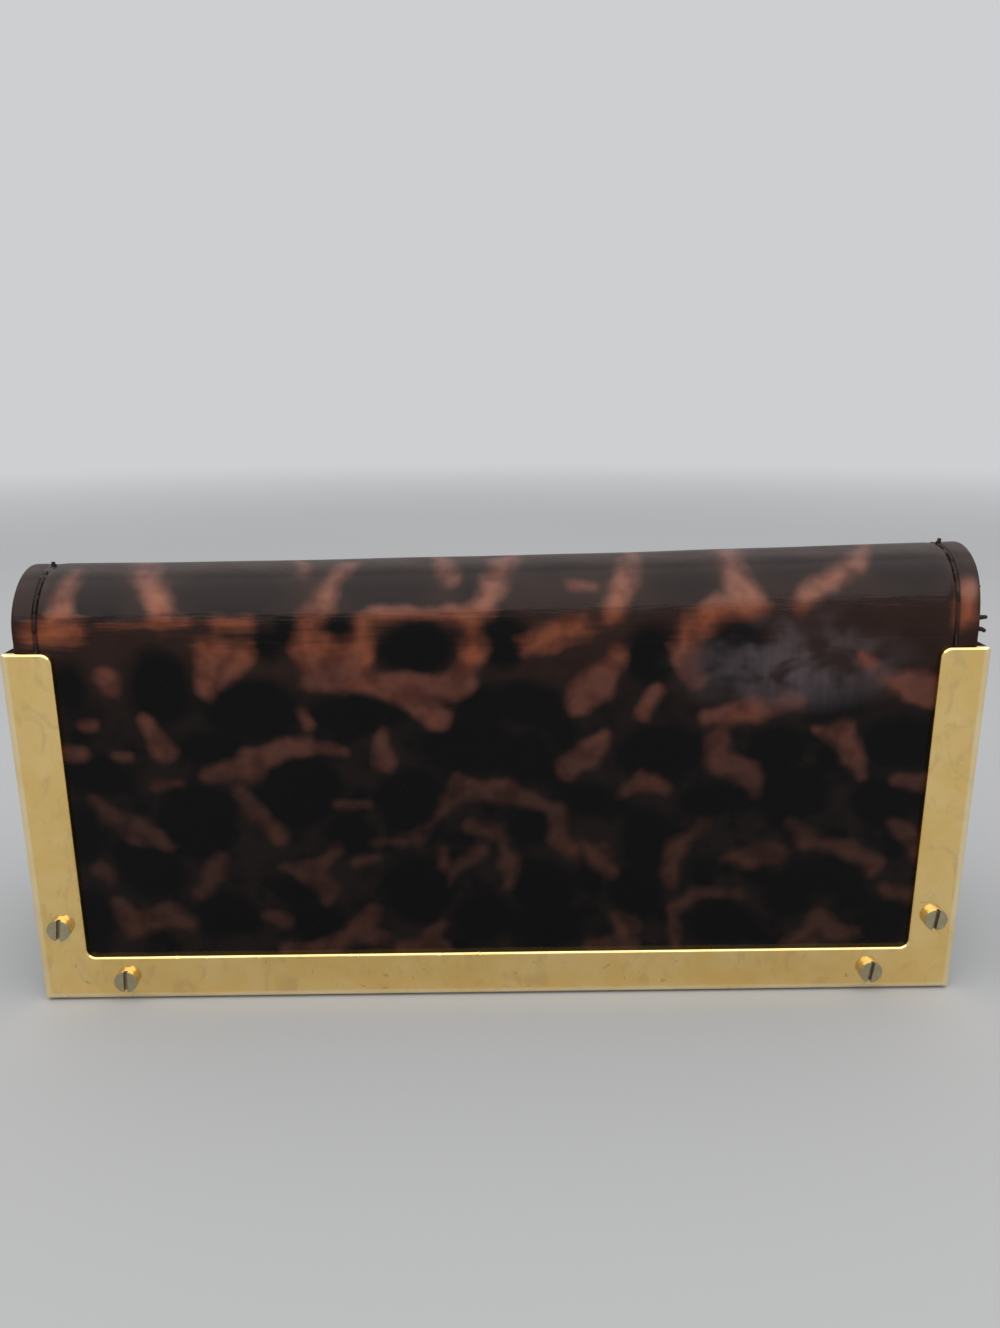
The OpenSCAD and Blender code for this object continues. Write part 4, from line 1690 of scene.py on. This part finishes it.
@dataclass
class Padding:
    """Everything soft inside: the trough's lining, the ends' linings, the lid's pad and the hinge strip."""

    finishes: Finishes
    cavity_x: float = 77.2
    skin_in: float = 2.4
    cavity_in: float = 4.0
    lip_d: float = 4.8
    lip_h: float = 14.0
    lip_points: int = 6
    floor_d: float = 35.5
    lining_cap: float = 0.7
    board_back: float = 3.9
    lid_back: float = 4.5
    board_x: float = 81.5
    board_z: Point = (1.4, 64.2)
    pad_x: float = 75.6
    pad_z: Point = (15.6, 63.3)
    # the pad's back, its rim and its crown over the rim, off the back of the board
    pad_back: float = 0.3
    pad_rim: float = 0.45
    pad_crown: float = 1.05
    pad_edge: float = 2.2
    pad_cap: float = 0.9
    # depths of the strip's front, of its back where it bends and above that, and its lowest and top points
    strip_d: Triple = (1.9, 2.3, 5.1)
    strip_z: Point = (64.9, 67.6)

    def strip(self, name: str, outline: np.ndarray, half_x: float, columns: int) -> Object:
        """A closed piece of one section along X.

        Args:
            name: the piece's name.
            outline: its section as [depth, height], in order.
            half_x: its half length.
            columns: how many sections it has.

        Returns:
            The piece.
        """
        xs = np.linspace(-half_x, half_x, columns)
        made = loft(name, [[(x, d + FRONT_Y, z) for d, z in outline] for x in xs])
        made.data.set_sharp_from_angle(angle=math.radians(50))
        return made

    def trough(self) -> Object:
        """The padded lining of the lip, base, back and roof, swelled a little.

        Returns:
            The piece.
        """
        start, *_, end = SECTION.runs
        insets = (self.skin_in, self.cavity_in)
        outer, inner = (SECTION.inside(inset, start, end, step=2.0) for inset in insets)

        def foot(inset: float) -> np.ndarray:
            """The flat floor and the lip.

            Args:
                inset: distance in from the outside of the leather.

            Returns:
                One row of [depth, height] per point, in order from the back.
            """
            lip = self.lip_d + inset
            floor = [(d, inset) for d in np.arange(self.floor_d, lip + 1.0, -2.5)]
            front = [(lip, z) for z in np.linspace(inset + 2, self.lip_h, self.lip_points)]
            return np.array([*floor, (lip, inset), *front])

        outline = np.concatenate([outer, foot(self.skin_in), foot(self.cavity_in)[::-1], inner[::-1]])
        columns, ring = 62, len(outline)
        made = self.strip("trough_pad", outline, self.cavity_x, columns)
        # the inner side is free between the lip's foot and the roof's front edge
        firm = np.ones(ring)
        firm[ring // 2 + self.lip_points + 1 : -2] = 0.0
        held = np.tile(firm, columns)
        held[: 2 * ring] = held[-2 * ring :] = 1.0
        swell(made, held, self.lining_cap)
        return made

    def lid_pad(self) -> Object:
        """The lid's pad, a crowned cushion that sits inside the mouth of the case.

        Returns:
            The piece.
        """
        xs, zs = np.linspace(-self.pad_x, self.pad_x, 76), np.linspace(*self.pad_z, 26)
        gaps = (self.pad_x - np.abs(xs[:, None]), np.minimum(zs - zs[0], zs[-1] - zs)[None, :])
        crown = [np.sqrt(1 - (1 - np.clip(gap / self.pad_edge, 0, 1)) ** 2) for gap in gaps]
        height = crown[0] * crown[1]
        flat = self.board_back + FRONT_Y
        x, z = np.meshgrid(xs, zs, indexing="ij")
        depths = (flat + self.pad_rim + self.pad_crown * height, 0 * x + flat + self.pad_back)
        points = np.concatenate([np.stack([x, y, z], -1).reshape(-1, 3) for y in depths])
        grid, under = np.arange(height.size).reshape(height.shape), height.size
        corners = (grid[:-1, :-1], grid[1:, :-1], grid[1:, 1:], grid[:-1, 1:])
        faces = []
        for a, b, c, d in zip(*(corner.ravel().tolist() for corner in corners)):
            faces += [(a, b, c, d), (d + under, c + under, b + under, a + under)]
        for rim in (grid[:, 0], grid[:, -1], grid[0], grid[-1]):
            pairs = zip(rim[:-1].tolist(), rim[1:].tolist())
            faces += [(a, b, b + under, a + under) for a, b in pairs]
        made = closed("lid_pad", points, faces)
        edge = (height < 0.75).ravel().astype(float)
        swell(made, np.concatenate([edge, np.ones_like(edge)]), self.pad_cap)
        return made

    def lid_sheet(self) -> Object:
        """The suede that covers the back of the lid's board round the pad.

        Returns:
            The piece.
        """
        (low, high), front, back = self.board_z, self.board_back, self.lid_back
        outline = np.array([(front, low), (front, high), (back, high), (back, low)])
        return even(self.strip("lid_suede", outline, self.board_x, 2), width=0.2)

    def hinge_strip(self) -> Object:
        """The suede strip behind the hinge, from the roof's front edge over the top of the lid.

        Returns:
            The piece.
        """
        (front, back, roof), (foot, top), (high, low) = self.strip_d, self.strip_z, HINGE_BEND
        zs = np.linspace(low, high, 9)
        outline = [(front, foot), (self.lid_back, foot), (self.lid_back, low), *((back, z) for z in zs)]
        outline += [(roof, high), (roof, top), (front, top), *((front, z) for z in zs[::-1])]
        return self.strip("hinge_strip", np.array(outline), self.cavity_x, 40)

    def build(self) -> list[Object]:
        """Builds the soft pieces.

        Returns:
            The pieces.
        """
        pieces = [
            (self.trough(), Body.CASE, "body_foam", "body_lining"),
            (self.lid_pad(), Body.LID, "lid_foam"),
            (self.lid_sheet(), Body.LID, "lid_lining"),
        ]
        for side in Side:
            lining = even(cad_copy(f"end_lining_{side.word}", f"end_suede_{side.word}"), width=0.2)
            pieces.append((lining, Body.CASE, f"end_lining_{side.word}"))
        pieces.append((self.hinge_strip(), None, "hinge_lining_upper", "hinge_lining_lower"))
        made = [settle(piece, self.finishes, Slot.SUEDE, *rest) for piece, *rest in pieces]
        return made


@dataclass
class DarkTrim:
    """The dark leather round the lid's board and under the base."""

    finishes: Finishes
    pieces: tuple[tuple[str, str, Body, float], ...] = (
        ("lid_edge_wrap", "lid_edge_leather", Body.LID, 0.22),
        ("base_cover", "base_leather", Body.CASE, 0.2),
    )

    def build(self) -> list[Object]:
        """Builds both pieces.

        Returns:
            The pieces.
        """
        made = []
        for node, name, body, width in self.pieces:
            made.append(settle(even(cad_copy(node, name), width=width), self.finishes, Slot.DARK, body, node))
        return made


@dataclass
class HardCore:
    """The CAD pieces that keep their shape and get a material."""

    finishes: Finishes
    nodes: tuple[tuple[Slot, tuple[str, ...]], ...] = (
        (Slot.SHELL, ("body_shell",)),
        (Slot.BOARD, ("end_board_left", "end_board_right", "lid_board")),
        (Slot.STEEL, ("catch_plates", "screw_nuts")),
        (Slot.NICKEL, ("lid_magnets",)),
    )

    def build(self) -> list[Object]:
        """Dresses them.

        Returns:
            The pieces.
        """
        made = []
        for slot, names in self.nodes:
            for piece in (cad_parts[name] for name in names):
                piece.data.materials.clear()
                piece.data.materials.append(self.finishes[slot])
                made.append(piece)
        return made


@dataclass
class Studio:
    """A pale floor, soft lamps, and the camera at the photograph's place."""

    eye: Triple = (-2.9, -184.6, 106.2)
    down: float = 15.15
    yaw: float = 1.05
    roll: float = 0.17
    focal_px: float = 1000.0
    long_px: float = 1328.0
    sensor: float = 36.0
    backdrop: Colour = (0.62, 0.625, 0.64)
    floor_tones: tuple[Colour, Colour] = ((0.385, 0.388, 0.393), (0.4, 0.403, 0.408))
    floor_side: float = 12.0
    fill: float = 0.35
    ceiling: float = 1.2
    box_width: float = 2.8
    box_strength: float = 1.75
    # name, middle, length and share of the strength
    boxes: tuple[tuple[str, float, float, float], ...] = (
        ("front_box", -1.15, 2.8, 1.0),
        ("middle_box", 0.6, 0.7, 0.42),
        ("rear_box", 1.5, 1.1, 0.3),
    )
    fade: Point = (0.45, 1.5)

    def camera(self) -> None:
        """Places the camera and its lens."""
        pitch, yaw, roll = (math.radians(a) for a in (self.down, self.yaw, self.roll))
        ahead = Vector((math.sin(yaw) * math.cos(pitch), math.cos(yaw) * math.cos(pitch), -math.sin(pitch)))
        level = Vector((math.cos(yaw), -math.sin(yaw), 0))
        under = ahead.cross(level)
        right = math.cos(roll) * level + math.sin(roll) * under
        below = -math.sin(roll) * level + math.cos(roll) * under
        data = bpy.data.cameras.new("camera")
        data.sensor_width, data.lens = self.sensor, self.sensor * self.focal_px / self.long_px
        data.clip_start, data.clip_end = 0.01, 50.0
        made = put("camera", data)
        turn = Matrix((right, -below, -ahead)).transposed()
        made.matrix_world = Matrix.Translation(Vector(self.eye) * MM) @ turn.to_4x4()
        bpy.context.scene.camera = made

    @staticmethod
    def seen(nodes: Nodes) -> Value:
        """Which rays see the plain backdrop.

        Args:
            nodes: the material or the world.

        Returns:
            1 for the camera's own rays and for mirrored and transmitted ones.
        """
        path = nodes.node("ShaderNodeLightPath").outputs
        rays = [Value(nodes, path[f"Is {kind} Ray"]) for kind in ("Camera", "Glossy", "Transmission")]
        return rays[0].most(rays[1]).most(rays[2])

    def floor(self) -> None:
        """Lays the plain pale floor, which turns into the backdrop far away."""
        s = Shader("studio_floor")
        places = s.places()
        x, y, _ = s.split(places)
        colour = s.mix(s.noise(places, 3.0).step(0.3, 0.7), *self.floor_tones)
        plain = {"Base Color": colour, "Roughness": 0.9, "Specular IOR Level": 0.1}
        near = s.node("ShaderNodeBsdfPrincipled", None, plain)
        far = s.node("ShaderNodeEmission", None, {"Color": (*self.backdrop, 1.0)})
        share = ((x * x + y * y) ** 0.5).step(*self.fade) * self.seen(s)
        both = s.node("ShaderNodeMixShader", None, {0: share, 1: near, 2: far})
        s.node("ShaderNodeOutputMaterial", None, {"Surface": both})
        mesh = bpy.data.meshes.new("floor")
        side = self.floor_side
        corners = [(-side, -side, 0), (side, -side, 0), (side, side, 0), (-side, side, 0)]
        mesh.from_pydata(corners, [], [(0, 1, 2, 3)])
        mesh.materials.append(s.material)
        put("floor", mesh)

    def world(self) -> None:
        """Sets the pale backdrop and the soft fill light."""
        world = bpy.data.worlds.new("studio")
        world.use_nodes = True
        w = Nodes(world.node_tree)
        near = w.node("ShaderNodeBackground", None, {"Color": (*self.backdrop, 1.0), "Strength": 1.0})
        soft = w.node("ShaderNodeBackground", None, {"Color": (1.0, 1.0, 1.0, 1.0), "Strength": self.fill})
        both = w.node("ShaderNodeMixShader", None, {0: self.seen(w), 1: soft, 2: near})
        w.node("ShaderNodeOutputWorld", None, {"Surface": both})
        bpy.context.scene.world = world

    def lamps(self) -> None:
        """Hangs the soft boxes, whose faces have a brightness of their strength where 1 is white."""
        for name, middle, length, share in self.boxes:
            data = bpy.data.lights.new(name, "AREA")
            data.shape, data.size, data.size_y = "RECTANGLE", self.box_width, length
            data.energy = self.box_strength * share * math.pi * self.box_width * length
            put(name, data).location = (0.0, middle, self.ceiling)

    def build(self) -> None:
        """Sets up the whole studio."""
        bpy.context.scene.view_settings.view_transform = "Standard"
        self.camera()
        self.floor()
        self.world()
        self.lamps()


def main() -> None:
    """Builds the studio and every sub-assembly in order, and logs each piece."""
    logging.basicConfig(level=logging.INFO, format="%(name)s %(message)s")
    Studio().build()
    finishes = Finishes()
    for assembly in (HardCore, LeatherWrap, Seams, DarkTrim, Padding, CornerFrame):
        for piece in assembly(finishes).build():
            LOG.info("%s: %s, %d faces", assembly.__name__, piece.name, len(piece.data.polygons))


if __name__ == "__main__":
    main()
